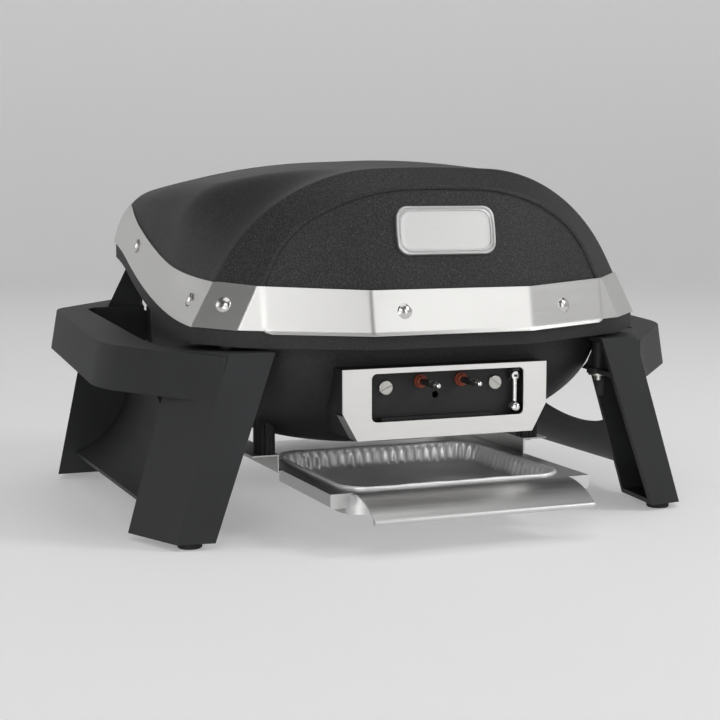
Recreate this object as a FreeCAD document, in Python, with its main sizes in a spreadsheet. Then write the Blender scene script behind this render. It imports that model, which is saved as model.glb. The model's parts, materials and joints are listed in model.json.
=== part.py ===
import FreeCAD, Part
import math
import os
import Sketcher

# Tabletop electric grill with a hinged lid, a pull-out drip tray and two moulded leg frames.
# Front is towards -Y, up is +Z, all sizes in millimetres.

doc = FreeCAD.newDocument("tabletop_grill")
dims = doc.addObject("Spreadsheet::Sheet", "dims")

# Driving sizes of the lid
LID_SIZES = {
    "rim_half_width": 226.6,
    "rim_front_y": -240,
    "rim_rear_y": 150,
    "rim_flat_half": 70,
    "rim_bow_radius": 60,
    "rim_bow_angle": 18,
    "front_corner_y": -174,
    "rear_corner_y": 112,
    "corner_run": 1.22,
    "rear_bow_angle": 8,
    "lid_front_lean": 11,
    "lid_rear_lean": 12,
    "front_arch_top": 333.5,
    "front_arch_shoulder": 170,
    "front_arch_lean": 28,
    "middle_arch_top": 341.5,
    "middle_arch_shoulder": 62,
    "middle_arch_lean": 15,
    "rear_arch_top": 334,
    "rear_arch_shoulder": 62,
    "rear_arch_lean": 15,
    "rear_rise": 8,
    "arch_crown": 660,
    "arch_change_run": 114,
    "border_drop": 1.0,
    "lid_wall": 4,
    "panel_recess": 1.6,
    "panel_half": 192,
    "panel_top": 306,
    "panel_shoulder": 98,
    "seam_gap": 0.6,
}

# Driving sizes of the line on which lid and bowl part
PARTING_SIZES = {
    "part_low_y": -180,
    "part_low_z": 191.5,
    "part_front_slope": 0.085,
    "part_sweep_radius": 600,
    "part_sweep_end_y": 60,
    "part_tail_radius": 225,
}

# Driving sizes of the steel band, its rivets and the badge plate
TRIM_SIZES = {
    "band_height": 40,
    "band_front_slope": 0.13,
    "band_thick": 1.2,
    "band_gap": 0.3,
    "band_lip": 2.5,
    "band_lip_half": 172,
    "rivet_radius": 7,
    "rivet_dome": 3.2,
    "rivet_shank": 2.4,
    "badge_width": 96,
    "badge_height": 45,
    "badge_thick": 2.4,
    "badge_corner": 11,
    "badge_rim": 3.2,
    "badge_rim_height": 1,
    "badge_z": 276,
}

# Driving sizes of the bowl
BOWL_SIZES = {
    "flange_height": 15,
    "flange_wall": 4,
    "bowl_inset": 13,
    "bowl_front_inset": 33,
    "bowl_top_z": 174,
    "bowl_bottom_z": 66,
    "bowl_foot_half": 60,
    "bowl_foot_front": -96,
    "bowl_foot_rear": 30,
    "bowl_corner": 110,
    "bowl_wall": 4,
    "post_x": 140.5,
    "post_front_y": -118,
    "post_rear_y": 62,
    "post_radius": 10.5,
    "post_flute": 2.6,
    "grate_rest_z": 160,
    "boss_x": 192,
    "boss_front_y": -172,
    "boss_rear_y": 122,
    "rear_boss_x": 186,
    "rear_boss_end_z": 214,
    "boss_radius": 7,
    "boss_end_z": 137,
    "drain_radius": 14,
    "drain_y": -36,
    "drain_collar": 9,
    "rest_width": 20,
    "rest_reach": 44,
    "rest_front_y": -110,
    "rest_rear_y": 22,
}

# Driving sizes of the hinge
HINGE_SIZES = {
    "hinge_x": 120,
    "hinge_out": 13,
    "hinge_pin_radius": 2.5,
    "hinge_pin_play": 0.06,
    "hinge_eye_radius": 6.5,
    "hinge_leaf": 14,
    "hinge_leaf_gap": 0.6,
    "hinge_plate": 3,
}

# Driving sizes of the terminal bracket and what is mounted in it
TERMINAL_SIZES = {
    "bracket_face_y": -227,
    "bracket_half": 103,
    "bracket_low_half": 88.5,
    "bracket_top_z": 153,
    "bracket_mid_z": 113.5,
    "bracket_low_z": 87.5,
    "bracket_depth": 20,
    "bracket_sheet": 1.5,
    "housing_wall": 3,
    "window_left": -74.5,
    "window_right": 79,
    "window_top_z": 148,
    "window_low_z": 104,
    "window_corner": 5,
    "terminal_x": 20.5,
    "terminal_z": 138,
    "terminal_radius": 3.2,
    "terminal_reach": 42,
    "terminal_tip": 7,
    "bushing_radius": 6.6,
    "bushing_reach": 7,
    "bushing_play": 0.1,
    "terminal_neck": 2.9,
    "tip_radius": 2.2,
    "house_screw_x": 55.5,
    "house_screw_z": 133.5,
    "house_screw_head": 6.8,
    "latch_x": 74,
    "latch_pivot_z": 139.5,
    "latch_knob_z": 110,
    "latch_knob_radius": 6.2,
    "latch_rod_radius": 2.4,
}

# Driving sizes of the heating element and the grates
COOKING_SIZES = {
    "element_radius": 4,
    "element_bend": 22,
    "element_front_y": -150,
    "element_rear_y": 70,
    "element_outer_x": 150,
    "element_inner_x": 62,
    "element_turn_y": -92,
    "grate_half": 175,
    "grate_front_y": -165,
    "grate_rear_y": 78,
    "grate_thick": 11,
    "grate_border": 12,
    "grate_gap": 3,
    "grate_bar": 7,
    "grate_bars": 10,
}

# Driving sizes of the rails, the drip tray and the foil pan
TRAY_SIZES = {
    "rail_web_x": 131.5,
    "rail_flange": 25,
    "rail_lip": 12,
    "rail_top_z": 63.5,
    "rail_lip_z": 46,
    "rail_sheet": 1.5,
    "rail_front_y": -131,
    "rail_rear_y": 118,
    "tray_clear": 1.2,
    "tray_front_y": -264,
    "tray_rear_y": 30,
    "tray_sheet": 1.4,
    "tray_drop": 23,
    "tray_lip_y": -312,
    "tray_lip_drop": 15,
    "tray_tab_height": 13,
    "tray_lip_left": -107,
    "foil_front_y": -252,
    "foil_rear_y": -50,
    "foil_half": 107,
    "foil_depth": 19,
    "foil_taper": 8,
    "foil_sheet": 0.7,
    "foil_corner": 24,
    "foil_clear": 0.4,
}

# Driving sizes of the leg frames, feet and fixings
LEG_SIZES = {
    "foot_height": 6,
    "foot_radius": 11,
    "foot_inset": 14,
    "leg_top_z": 171,
    "leg_half_depth": 222,
    "leg_inner_depth": 157,
    "leg_foot_out": 283,
    "leg_foot_front": 256,
    "leg_foot_in": 222,
    "leg_head_out": 240,
    "leg_head_front": 205,
    "leg_head_in": 164.5,
    "leg_wall": 5,
    "rear_peak_z": 240,
    "grip_outer": 296,
    "grip_inner": 254,
    "grip_height": 41,
    "grip_front_z": 167.5,
    "grip_slope": 0.065,
    "grip_flare": 7,
    "grip_front_y": -100,
    "grip_rear_y": 100,
    "web_low_x": 264,
    "web_low_z": 30,
    "web_high_x": 207,
    "web_high_z": 128,
    "web_thick": 5,
    "web_scoop": 260,
    "web_scoop_y": -95,
    "web_scoop_z": 74,
    "lug_thick": 5,
    "lug_width": 24,
    "washer_radius": 10.5,
    "washer_thick": 2,
    "bolt_radius": 3,
    "bolt_head": 5,
    "bolt_head_height": 5,
}

# Place of the whole model: the frame's origin is under the middle of the outline with the tray out
FRAME_SIZES = {
    "frame_shift": 42.5,
}

row = 1
for group in (LID_SIZES, PARTING_SIZES, TRIM_SIZES, BOWL_SIZES, HINGE_SIZES, TERMINAL_SIZES,
              COOKING_SIZES, TRAY_SIZES, LEG_SIZES, FRAME_SIZES):
    for alias, number in group.items():
        dims.set("A%d" % row, alias)
        dims.set("B%d" % row, str(number))
        dims.setAlias("B%d" % row, alias)
        row += 1
doc.recompute()


def size(alias):
    return float(dims.get(alias))


def vec(x, y, z):
    return FreeCAD.Vector(x, y, z)


def line(a, b):
    return Part.LineSegment(a, b).toShape()


def arc(a, middle, b):
    return Part.Arc(a, middle, b).toShape()


def tidy(shape):
    clean = shape.removeSplitter()
    return clean if clean.isValid() else shape


def mirrored(shape):
    return shape.mirror(vec(0, 0, 0), vec(1, 0, 0))


def block(x0, x1, y0, y1, z0, z1):
    return Part.makeBox(x1 - x0, y1 - y0, z1 - z0, vec(x0, y0, z0))


def rod(radius, start, end):
    run = end - start
    return Part.makeCylinder(radius, run.Length, start, run)


# The nodes that are written out, by label
nodes = []


def keep(obj, label):
    obj.Label = label
    obj.setExpression("Placement.Base.y", "dims.frame_shift")
    nodes.append(obj)
    return obj


def featureNode(label, shape):
    obj = doc.addObject("Part::Feature", label)
    obj.Shape = shape
    return keep(obj, label)


# Arch outline across the grill: two leaning sides, two shoulder arcs and a crown arc
def archWire(y, half, level, lean, top, shoulder, crown, low):
    tilt = math.radians(lean)
    out = (math.cos(tilt), math.sin(tilt))
    up = (-math.sin(tilt), math.cos(tilt))
    reach = out[0] * half + out[1] * level - shoulder
    crownLevel = top - crown
    alongBase = out[1] * reach - crownLevel
    mixed = out[0] * reach * up[0] + alongBase * up[1]
    rest = (out[0] * reach) ** 2 + alongBase ** 2 - (crown - shoulder) ** 2
    along = -mixed + math.sqrt(mixed * mixed - rest)
    cx = out[0] * reach + up[0] * along
    cz = out[1] * reach + up[1] * along
    span = math.hypot(cx, cz - crownLevel)
    away = (cx / span, (cz - crownLevel) / span)
    sideTop = (cx + shoulder * out[0], cz + shoulder * out[1])
    crownEnd = (cx + shoulder * away[0], cz + shoulder * away[1])
    half_turn = ((out[0] + away[0]) / 2, (out[1] + away[1]) / 2)
    stretch = shoulder / math.hypot(half_turn[0], half_turn[1])
    shoulderMiddle = (cx + half_turn[0] * stretch, cz + half_turn[1] * stretch)
    foot = half + (level - low) * math.tan(tilt)
    right = [vec(foot, y, low), vec(sideTop[0], y, sideTop[1])]
    turn = [vec(shoulderMiddle[0], y, shoulderMiddle[1]), vec(crownEnd[0], y, crownEnd[1])]
    flip = [vec(-p.x, p.y, p.z) for p in right + turn]
    edges = [
        line(flip[0], right[0]),
        line(right[0], right[1]),
        arc(right[1], turn[0], turn[1]),
        arc(turn[1], vec(0, y, top), flip[3]),
        arc(flip[3], flip[2], flip[1]),
        line(flip[1], flip[0]),
    ]
    return Part.Wire(edges)


# Height of the parting line at a depth y, and the same line as edges
def partingEnds():
    sweep = math.asin((size("part_sweep_end_y") - size("part_low_y")) / size("part_sweep_radius"))
    sweepRise = size("part_sweep_radius") * (1 - math.cos(sweep))
    tailRun = size("part_tail_radius") * math.sin(sweep)
    tailRise = size("part_tail_radius") * (1 - math.cos(sweep))
    return sweep, sweepRise, tailRun, tailRise


def partingHeight(y):
    sweep, sweepRise, tailRun, tailRise = partingEnds()
    lowY = size("part_low_y")
    lowZ = size("part_low_z")
    endY = size("part_sweep_end_y")
    if y < lowY:
        return lowZ + (y - lowY) * size("part_front_slope")
    if y < endY:
        big = size("part_sweep_radius")
        return lowZ + big - math.sqrt(big * big - (y - lowY) ** 2)
    tail = size("part_tail_radius")
    left = max(endY + tailRun - y, 0)
    return lowZ + sweepRise + tailRise - tail + math.sqrt(tail * tail - left * left)


REACH = 420


def partingSlab(bottom, top, bottomSlope, topSlope):
    lowY = size("part_low_y")
    endY = size("part_sweep_end_y")
    sweep, sweepRise, tailRun, tailRise = partingEnds()
    rearY = endY + tailRun

    def curve(lift, slope):
        def at(y):
            extra = (lowY - y) * (size("part_front_slope") - slope) if y < lowY else 0
            return vec(-REACH, y, partingHeight(y) + lift + extra)
        return [
            line(at(-REACH), at(lowY)),
            arc(at(lowY), at((lowY + endY) / 2), at(endY)),
            arc(at(endY), at(endY + tailRun * 0.5), at(rearY)),
            line(at(rearY), at(REACH)),
        ], at(-REACH), at(REACH)

    lower, lowerFront, lowerRear = curve(bottom, bottomSlope)
    if top is None:
        upperFront = vec(-REACH, -REACH, REACH)
        upperRear = vec(-REACH, REACH, REACH)
        upper = [line(upperFront, upperRear)]
    else:
        upper, upperFront, upperRear = curve(top, topSlope)
    loop = Part.Wire(Part.__sortEdges__(
        lower + upper + [line(lowerFront, upperFront), line(lowerRear, upperRear)]))
    return Part.Face(loop).extrude(vec(2 * REACH, 0, 0))


# Bowed front or rear wall in plan: a flat middle, two arcs and two straight wings
def bowedPlan(faceY, bow, away, farY, level):
    sign = 1 if farY > faceY else -1
    flat = size("rim_flat_half")
    radius = size("rim_bow_radius")
    turn = math.radians(bow)
    arcEnd = (flat + radius * math.sin(turn), faceY + sign * radius * (1 - math.cos(turn)))
    arcMiddle = (flat + radius * math.sin(turn / 2), faceY + sign * radius * (1 - math.cos(turn / 2)))
    wing = (away, arcEnd[1] + sign * (away - arcEnd[0]) * math.tan(turn))
    right = [vec(p[0], p[1], level) for p in ((flat, faceY), arcMiddle, arcEnd, wing, (away, farY))]
    left = [vec(-p.x, p.y, p.z) for p in right]
    return Part.Wire([
        line(left[0], right[0]),
        arc(right[0], right[1], right[2]),
        line(right[2], right[3]),
        line(right[3], right[4]),
        line(right[4], left[4]),
        line(left[4], left[3]),
        line(left[3], left[2]),
        arc(left[2], left[1], left[0]),
    ])


def leaningWall(faceY, bow, farY, level, lean):
    plan = Part.Face(bowedPlan(faceY, bow, REACH, farY, level))
    drop = vec(0, -math.tan(math.radians(lean)) * level, -level)
    plan.translate(drop)
    return plan.extrude(vec(0, math.tan(math.radians(lean)) * REACH, REACH))


# The whole lid as a closed body, grown outwards by a few millimetres or shrunk inwards
def archAt(y):
    reach = (y - size("front_corner_y")) / size("arch_change_run")
    share = min(max(reach, 0), 1)
    change = share * share * (3 - 2 * share)
    fall = min(max((y - size("part_sweep_end_y")) / 120, 0), 1)
    lean = size("front_arch_lean") + (size("middle_arch_lean") - size("front_arch_lean")) * change
    shoulder = size("front_arch_shoulder")
    shoulder += (size("middle_arch_shoulder") - shoulder) * change
    top = size("front_arch_top") + (size("middle_arch_top") - size("front_arch_top")) * change
    top -= (size("middle_arch_top") - size("rear_arch_top")) * fall
    crown = size("arch_crown") * 2 / (1 + change)
    return lean, top, shoulder, crown


def lidBody(grow, stations=(-174, -148, -122, -96, -60, 10, 60, 120, 180), ruled=False):
    half = size("rim_half_width")
    low = size("part_low_z") - size("band_height")

    def section(y, lean, top, shoulder, crown):
        return archWire(y, half + grow, partingHeight(y), lean, top + grow, shoulder + grow, crown, low)

    crown = size("arch_crown")
    frontY = size("rim_front_y")
    frontCornerY = size("front_corner_y")
    frontLean = size("front_arch_lean")
    frontTop = size("front_arch_top")
    frontShoulder = size("front_arch_shoulder")
    sections = []
    for y in stations:
        sections.append(section(y, *archAt(y)))
    first = sections[0]
    barrel = Part.makeLoft(sections, True, ruled)
    nose = Part.Face(first).extrude(vec(0, -REACH / 4, 0))
    body = barrel.fuse(nose)

    def border(cornerY, direction, lean, top, shoulder, level):
        run = 80
        wide = archWire(cornerY + direction * grow, half + grow, level, lean, top + grow,
                        shoulder + grow, crown * 2, low)
        small = archWire(cornerY + direction * run + direction * grow, half + grow - run * size("corner_run"),
                         level, lean, top + grow - run * size("border_drop"),
                         (shoulder + grow) * 0.34, crown * 2, low)
        hull = Part.makeLoft([wide, small], True, True)
        planeY = cornerY + direction * grow
        near, far = sorted((planeY, -direction * REACH))
        return hull.fuse(block(-REACH, REACH, near, far, 0, REACH))

    frontRise = (frontCornerY - frontY) * 0.38
    rearCornerY = size("rear_corner_y")
    frontBorder = border(frontCornerY, -1, frontLean, frontTop + frontRise,
                         frontShoulder + frontRise, size("part_low_z"))
    rearBorder = border(rearCornerY, 1, size("rear_arch_lean"), size("middle_arch_top") + size("rear_rise"),
                        size("rear_arch_shoulder"), partingHeight(rearCornerY))
    frontWall = leaningWall(frontY - grow, size("rim_bow_angle"), REACH, size("part_low_z"), size("lid_front_lean"))
    rearWall = leaningWall(size("rim_rear_y") + grow, size("rear_bow_angle"), -REACH,
                           partingHeight(size("rim_rear_y")), -size("lid_rear_lean"))
    body = body.common(frontBorder)
    body = body.common(rearBorder)
    body = body.common(frontWall)
    body = body.common(rearWall)
    return body


frontSlope = size("part_front_slope")
lidOuter = lidBody(0)
lidInner = lidBody(-size("lid_wall"), (-174, -117, -60, 60, 180), True)
bandGap = size("band_gap")
bandThick = size("band_thick")
bandInnerBody = lidBody(bandGap)
bandOuterBody = lidBody(bandGap + bandThick)
rimGap = size("seam_gap") / 2
aboveParting = partingSlab(rimGap, None, frontSlope, frontSlope)

# Plan outline of the rim: bowed front and rear, cut corners and straight sides
def rimOutline():
    half = size("rim_half_width")
    flat = size("rim_flat_half")
    radius = size("rim_bow_radius")

    def end(faceY, cornerY, bow, sign):
        turn = math.radians(bow)
        arcEnd = (flat + radius * math.sin(turn), faceY + sign * radius * (1 - math.cos(turn)))
        arcMiddle = (flat + radius * math.sin(turn / 2), faceY + sign * radius * (1 - math.cos(turn / 2)))
        slope = math.tan(turn)
        run = size("corner_run")
        gap = (cornerY - arcEnd[1]) * sign
        foldX = (gap + arcEnd[0] * slope - half / run) / (slope - 1 / run)
        foldY = arcEnd[1] + sign * (foldX - arcEnd[0]) * slope
        return (flat, faceY), arcMiddle, arcEnd, (foldX, foldY), (half, cornerY)

    front = end(size("rim_front_y"), size("front_corner_y"), size("rim_bow_angle"), 1)
    rear = end(size("rim_rear_y"), size("rear_corner_y"), size("rear_bow_angle"), -1)
    right = [vec(p[0], p[1], 0) for p in front + rear[::-1]]
    left = [vec(-p.x, p.y, 0) for p in right]
    half_edges = []
    for side in (right, left):
        half_edges += [
            arc(side[0], side[1], side[2]),
            line(side[2], side[3]),
            line(side[3], side[4]),
            line(side[4], side[5]),
            line(side[5], side[6]),
            line(side[6], side[7]),
            arc(side[7], side[8], side[9]),
        ]
    ends = [line(left[0], right[0]), line(left[9], right[9])]
    return Part.Wire(Part.__sortEdges__(half_edges + ends))


def rimPrism(inset):
    outline = Part.Face(rimOutline())
    if inset:
        outline = outline.makeOffset2D(-inset)
    return outline.extrude(vec(0, 0, REACH))


# Rivets through the band: each row gives a rough place and the way that it points
def slanted(x, y, z):
    v = vec(x, y, z)
    v.normalize()
    return v


frontNormal = math.tan(math.radians(size("lid_front_lean")))
rearNormal = math.tan(math.radians(size("lid_rear_lean")))
bow = math.radians(size("rim_bow_angle"))
cornerTurn = math.atan(1 / size("corner_run"))
sideNormal = math.tan(math.radians(size("middle_arch_lean")))
RIVET_PLACES = [
    (-48, -239, 205, slanted(0, -1, frontNormal)),
    (121, -226, 205, slanted(math.sin(bow), -math.cos(bow), frontNormal)),
    (-200, -187, 211, slanted(-math.sin(cornerTurn), -math.cos(cornerTurn), frontNormal * 2)),
    (-226, -140, 215, slanted(-1, 0, sideNormal)),
    (-226, 39, 257, slanted(-1, 0, sideNormal)),
    (226, -140, 215, slanted(1, 0, sideNormal)),
    (226, 39, 257, slanted(1, 0, sideNormal)),
    (-60, 150, 280, slanted(0, 1, rearNormal)),
    (60, 150, 280, slanted(0, 1, rearNormal)),
]


def surfacePoint(body, place, normal):
    aim = line(place - normal * 30, place + normal * 30)
    inside = body.common(aim)
    return max((v.Point for v in inside.Vertexes), key=lambda p: p.dot(normal))


rivets = []
rivetHoles = []
for x, y, z, normal in RIVET_PLACES:
    seat = surfacePoint(bandOuterBody, vec(x, y, z), normal)
    radius = size("rivet_radius")
    dome = size("rivet_dome")
    ball = (radius * radius + dome * dome) / (2 * dome)
    head = Part.makeSphere(ball, seat + normal * (dome - ball))
    disc = Part.makeCylinder(radius + 1, dome + 1, seat + normal * 0.1, normal)
    shankEnd = seat - normal * (bandGap + bandThick + size("lid_wall") + 0.5)
    shank = rod(size("rivet_shank"), shankEnd, seat + normal * 0.5)
    rivets.append(head.common(disc).cut(bandOuterBody).fuse(shank))
    rivetHoles.append(rod(size("rivet_shank") + 0.1, shankEnd - normal * 3, seat + normal * 6))
rivetHoleSet = Part.makeCompound(rivetHoles)

# Lid shell: an arched casting with a bowed, framed front panel
panelFloor = size("panel_recess")
panelOutline = archWire(-REACH, size("panel_half"), size("part_low_z"), size("front_arch_lean"),
                        size("panel_top"), size("panel_shoulder"), size("arch_crown"), 150)
panelPrism = Part.Face(panelOutline).extrude(vec(0, REACH, 0))
panelSkin = leaningWall(size("rim_front_y") - 10, size("rim_bow_angle"), REACH, size("part_low_z"),
                        size("lid_front_lean"))
panelKeep = leaningWall(size("rim_front_y") + panelFloor, size("rim_bow_angle"), REACH, size("part_low_z"),
                        size("lid_front_lean"))
panelLow = partingSlab(size("band_height") + 1, None, size("band_front_slope"), size("band_front_slope"))
panelFrontHalf = block(-REACH, REACH, -REACH, -150, 0, REACH)
panelPocket = panelPrism.common(panelSkin.cut(panelKeep)).common(panelLow).common(panelFrontHalf)
lid = lidOuter.cut(lidInner).common(aboveParting).cut(panelPocket).cut(rivetHoleSet)

# Steel band round the lower edge of the lid, in four lengths
bandShell = bandOuterBody.cut(bandInnerBody)
bandZone = partingSlab(rimGap, size("band_height"), frontSlope, size("band_front_slope"))
lipZone = partingSlab(rimGap - size("band_lip"), size("band_height") / 2, frontSlope, frontSlope)
lipSpan = block(-size("band_lip_half"), size("band_lip_half"), -REACH, -150, 0, REACH)
band = bandShell.common(bandZone.fuse(lipZone.common(lipSpan))).cut(rivetHoleSet)
frontSeam = size("front_corner_y") - bandGap - bandThick
rearSeam = size("rear_corner_y") + bandGap + bandThick
seam = size("seam_gap") / 2
frontBand = band.common(block(-REACH, REACH, -REACH, frontSeam, 0, REACH))
leftBand = band.common(block(-REACH, 0, frontSeam + seam, rearSeam - seam, 0, REACH))
rightBand = band.common(block(0, REACH, frontSeam + seam, rearSeam - seam, 0, REACH))
rearBand = band.common(block(-REACH, REACH, rearSeam, REACH, 0, REACH))

featureNode("lid_shell", tidy(lid))
featureNode("trim_band_front", frontBand)
featureNode("trim_band_left", leftBand)
featureNode("trim_band_right", rightBand)
featureNode("trim_band_rear", rearBand)
featureNode("trim_rivets", Part.makeCompound(rivets))


# Badge plate: a blank rounded plate with a raised rim, leaning with the panel
badge = doc.addObject("PartDesign::Body", "badge_plate")


def originPlane(body, role):
    for item in body.Origin.OriginFeatures:
        if item.Role == role:
            return item


def newSketch(body, name, role, offsetAlias=None):
    sketch = body.newObject("Sketcher::SketchObject", name)
    sketch.AttachmentSupport = [(originPlane(body, role), "")]
    sketch.MapMode = "FlatFace"
    if offsetAlias:
        sketch.setExpression("AttachmentOffset.Base.z", offsetAlias)
    return sketch


def centredRectangle(sketch, widthExpr, heightExpr):
    corners = [vec(-10, -5, 0), vec(10, -5, 0), vec(10, 5, 0), vec(-10, 5, 0)]
    for i in range(4):
        sketch.addGeometry(Part.LineSegment(corners[i], corners[(i + 1) % 4]), False)
    for i in range(4):
        sketch.addConstraint(Sketcher.Constraint("Coincident", i, 2, (i + 1) % 4, 1))
    for i, kind in enumerate(("Horizontal", "Vertical", "Horizontal", "Vertical")):
        sketch.addConstraint(Sketcher.Constraint(kind, i))
    sketch.addConstraint(Sketcher.Constraint("Symmetric", 0, 1, 1, 2, -1, 1))
    across = sketch.addConstraint(Sketcher.Constraint("DistanceX", 0, 1, 0, 2, 20))
    upright = sketch.addConstraint(Sketcher.Constraint("DistanceY", 1, 1, 1, 2, 10))
    sketch.setExpression("Constraints[%d]" % across, widthExpr)
    sketch.setExpression("Constraints[%d]" % upright, heightExpr)


def roundUprights(body, feature, name, radiusExpr, axis):
    doc.recompute()
    edges = []
    for i, edge in enumerate(feature.Shape.Edges, 1):
        run = edge.Vertexes[-1].Point - edge.Vertexes[0].Point
        if run.Length > 1e-6 and abs(abs(run.dot(axis)) / run.Length - 1) < 1e-6:
            edges.append("Edge%d" % i)
    fillet = body.newObject("PartDesign::Fillet", name)
    fillet.Base = (feature, edges)
    fillet.setExpression("Radius", radiusExpr)
    doc.recompute()
    return fillet


plateSketch = newSketch(badge, "badge_outline", "XY_Plane")
centredRectangle(plateSketch, "dims.badge_width", "dims.badge_height")
platePad = badge.newObject("PartDesign::Pad", "badge_pad")
platePad.Profile = plateSketch
platePad.setExpression("Length", "dims.badge_thick + dims.badge_rim_height")
plateRound = roundUprights(badge, platePad, "badge_round", "dims.badge_corner", vec(0, 0, 1))
fieldSketch = newSketch(badge, "badge_field", "XY_Plane", "dims.badge_thick")
centredRectangle(fieldSketch, "dims.badge_width - 2 * dims.badge_rim",
                 "dims.badge_height - 2 * dims.badge_rim")
fieldPocket = badge.newObject("PartDesign::Pocket", "badge_field_pocket")
fieldPocket.Profile = fieldSketch
fieldPocket.Reversed = True
fieldPocket.setExpression("Length", "dims.badge_rim_height + 1")
doc.recompute()
badgeSeat = size("rim_front_y") + panelFloor
badgeSeat += (size("badge_z") - size("part_low_z")) * frontNormal
badge.Placement = FreeCAD.Placement(
    vec(0, badgeSeat - 0.05, size("badge_z")),
    FreeCAD.Rotation(vec(1, 0, 0), 90 - size("lid_front_lean")))
badgeBaseY = badge.Placement.Base.y
badge.Label = "badge_plate"
badge.setExpression("Placement.Base.y", "%.4f + dims.frame_shift" % badgeBaseY)
nodes.append(badge)


# Bowl: a rounded casting that follows a quarter ellipse from rim to foot
def roundedOutline(half, frontY, rearY, corner, z):
    plan = Part.Face(Part.makePolygon([
        vec(-half, frontY, z), vec(half, frontY, z), vec(half, rearY, z), vec(-half, rearY, z),
        vec(-half, frontY, z)]))
    solid = plan.extrude(vec(0, 0, 1))
    uprights = [e for e in solid.Edges if abs(e.tangentAt(e.FirstParameter).z) > 0.99]
    rounded = solid.makeFillet(corner, uprights)
    for face in rounded.Faces:
        if abs(face.CenterOfMass.z - z) < 1e-6:
            return face.OuterWire


def bowlSolid(grow, topExtra, shares=(0, 0.12, 0.34, 0.6, 0.82, 0.95, 1), ruled=False):
    topZ = size("bowl_top_z")
    footZ = size("bowl_bottom_z") - grow
    half = size("rim_half_width") - size("bowl_inset") + grow
    front = size("rim_front_y") + size("bowl_front_inset") - grow
    rear = size("rim_rear_y") - size("bowl_front_inset") + grow
    footHalf = size("bowl_foot_half") + grow
    footFront = size("bowl_foot_front") - grow
    footRear = size("bowl_foot_rear") + grow
    corner = size("bowl_corner") + grow
    sections = []
    for share in shares:
        z = footZ + (topZ - footZ) * share
        swell = math.sqrt(1 - (1 - share) ** 2)
        wide = footHalf + (half - footHalf) * swell
        near = footFront + (front - footFront) * swell
        far = footRear + (rear - footRear) * swell
        edge = min(corner, 0.45 * (far - near), 0.45 * 2 * wide)
        sections.append(roundedOutline(wide, near, far, edge, z))
    dish = Part.makeLoft(sections, True, ruled)
    wall = Part.Face(sections[-1]).extrude(vec(0, 0, topExtra))
    return dish.fuse(wall)


bowlOuter = bowlSolid(0, 120)
bowlInner = bowlSolid(-size("bowl_wall"), 160, (0, 0.04, 0.15, 0.38, 0.68, 1), True)
flangeZone = partingSlab(-rimGap - size("flange_height"), -rimGap, frontSlope, frontSlope)
flange = rimPrism(0.5).common(flangeZone)
belowFlange = block(-REACH, REACH, -REACH, REACH, 0, REACH).cut(
    partingSlab(-rimGap - 1, None, frontSlope, frontSlope))
flangeWall = size("flange_wall")
underFlange = rimPrism(0.5 + flangeWall).common(
    partingSlab(-rimGap - size("flange_height") - 1, -rimGap - flangeWall, frontSlope, frontSlope))
bowl = bowlOuter.common(belowFlange).fuse(flange.cut(underFlange))


def flutedPost(x, y):
    radius = size("post_radius")
    post = rod(radius, vec(x, y, size("rail_top_z")), vec(x, y, size("bowl_bottom_z") + 60))
    for i in range(8):
        turn = math.radians(45 * i + 22.5)
        fx = x + (radius + 1) * math.cos(turn)
        fy = y + (radius + 1) * math.sin(turn)
        post = post.cut(rod(size("post_flute"), vec(fx, fy, 0), vec(fx, fy, REACH)))
    return post


postPlaces = [(sx * size("post_x"), y) for sx in (-1, 1) for y in (size("post_front_y"), size("post_rear_y"))]
for x, y in postPlaces:
    bowl = bowl.fuse(flutedPost(x, y))
frontBoss = (size("boss_x"), size("boss_front_y"), size("boss_end_z"))
rearBoss = (size("rear_boss_x"), size("boss_rear_y"), size("rear_boss_end_z"))
bossPlaces = [(sx * x, y, z) for sx in (-1, 1) for x, y, z in (frontBoss, rearBoss)]
for x, y, z in bossPlaces:
    top = partingHeight(y) - rimGap - flangeWall + 1
    bowl = bowl.fuse(rod(size("boss_radius"), vec(x, y, z), vec(x, y, top)))
drainY = size("drain_y")
collar = rod(size("drain_radius") + 3, vec(0, drainY, size("bowl_bottom_z") - size("drain_collar")),
             vec(0, drainY, size("bowl_bottom_z") + 1))
bowl = bowl.fuse(collar).cut(bowlInner)
bowl = bowl.cut(rod(size("drain_radius"), vec(0, drainY, 0), vec(0, drainY, size("bowl_bottom_z") + 20)))
restWidth = size("rest_width")
for sx in (-1, 1):
    for y in (size("rest_front_y"), size("rest_rear_y")):
        outer = size("rim_half_width") - size("bowl_inset") - 1
        inner = outer - size("rest_reach")
        x0, x1 = sorted((sx * outer, sx * inner))
        rest = block(x0, x1, y - restWidth / 2, y + restWidth / 2, 110, size("grate_rest_z")).common(bowlOuter)
        under = Part.Face(Part.makePolygon([
            vec(sx * (inner - 1), y - restWidth, 100), vec(sx * outer, y - restWidth, 100),
            vec(sx * (inner - 1), y - restWidth, size("grate_rest_z") - 5),
            vec(sx * (inner - 1), y - restWidth, 100)])).extrude(vec(0, 2 * restWidth, 0))
        bowl = bowl.fuse(rest.cut(under))
terminalHoles = [
    rod(size("element_radius") + 0.3, vec(sx * size("terminal_x"), -260, size("terminal_z")),
        vec(sx * size("terminal_x"), -150, size("terminal_z"))) for sx in (-1, 1)]
bowl = bowl.cut(Part.makeCompound(terminalHoles))
railScrewDepth = 14
for x, y in postPlaces:
    bowl = bowl.cut(rod(2.1, vec(x, y, 0), vec(x, y, size("rail_top_z") + railScrewDepth)))
for x, y, z in bossPlaces:
    bowl = bowl.cut(rod(size("bolt_radius") + 0.1, vec(x, y, z - 5), vec(x, y, z + 20)))
featureNode("bowl_shell", tidy(bowl))

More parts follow.
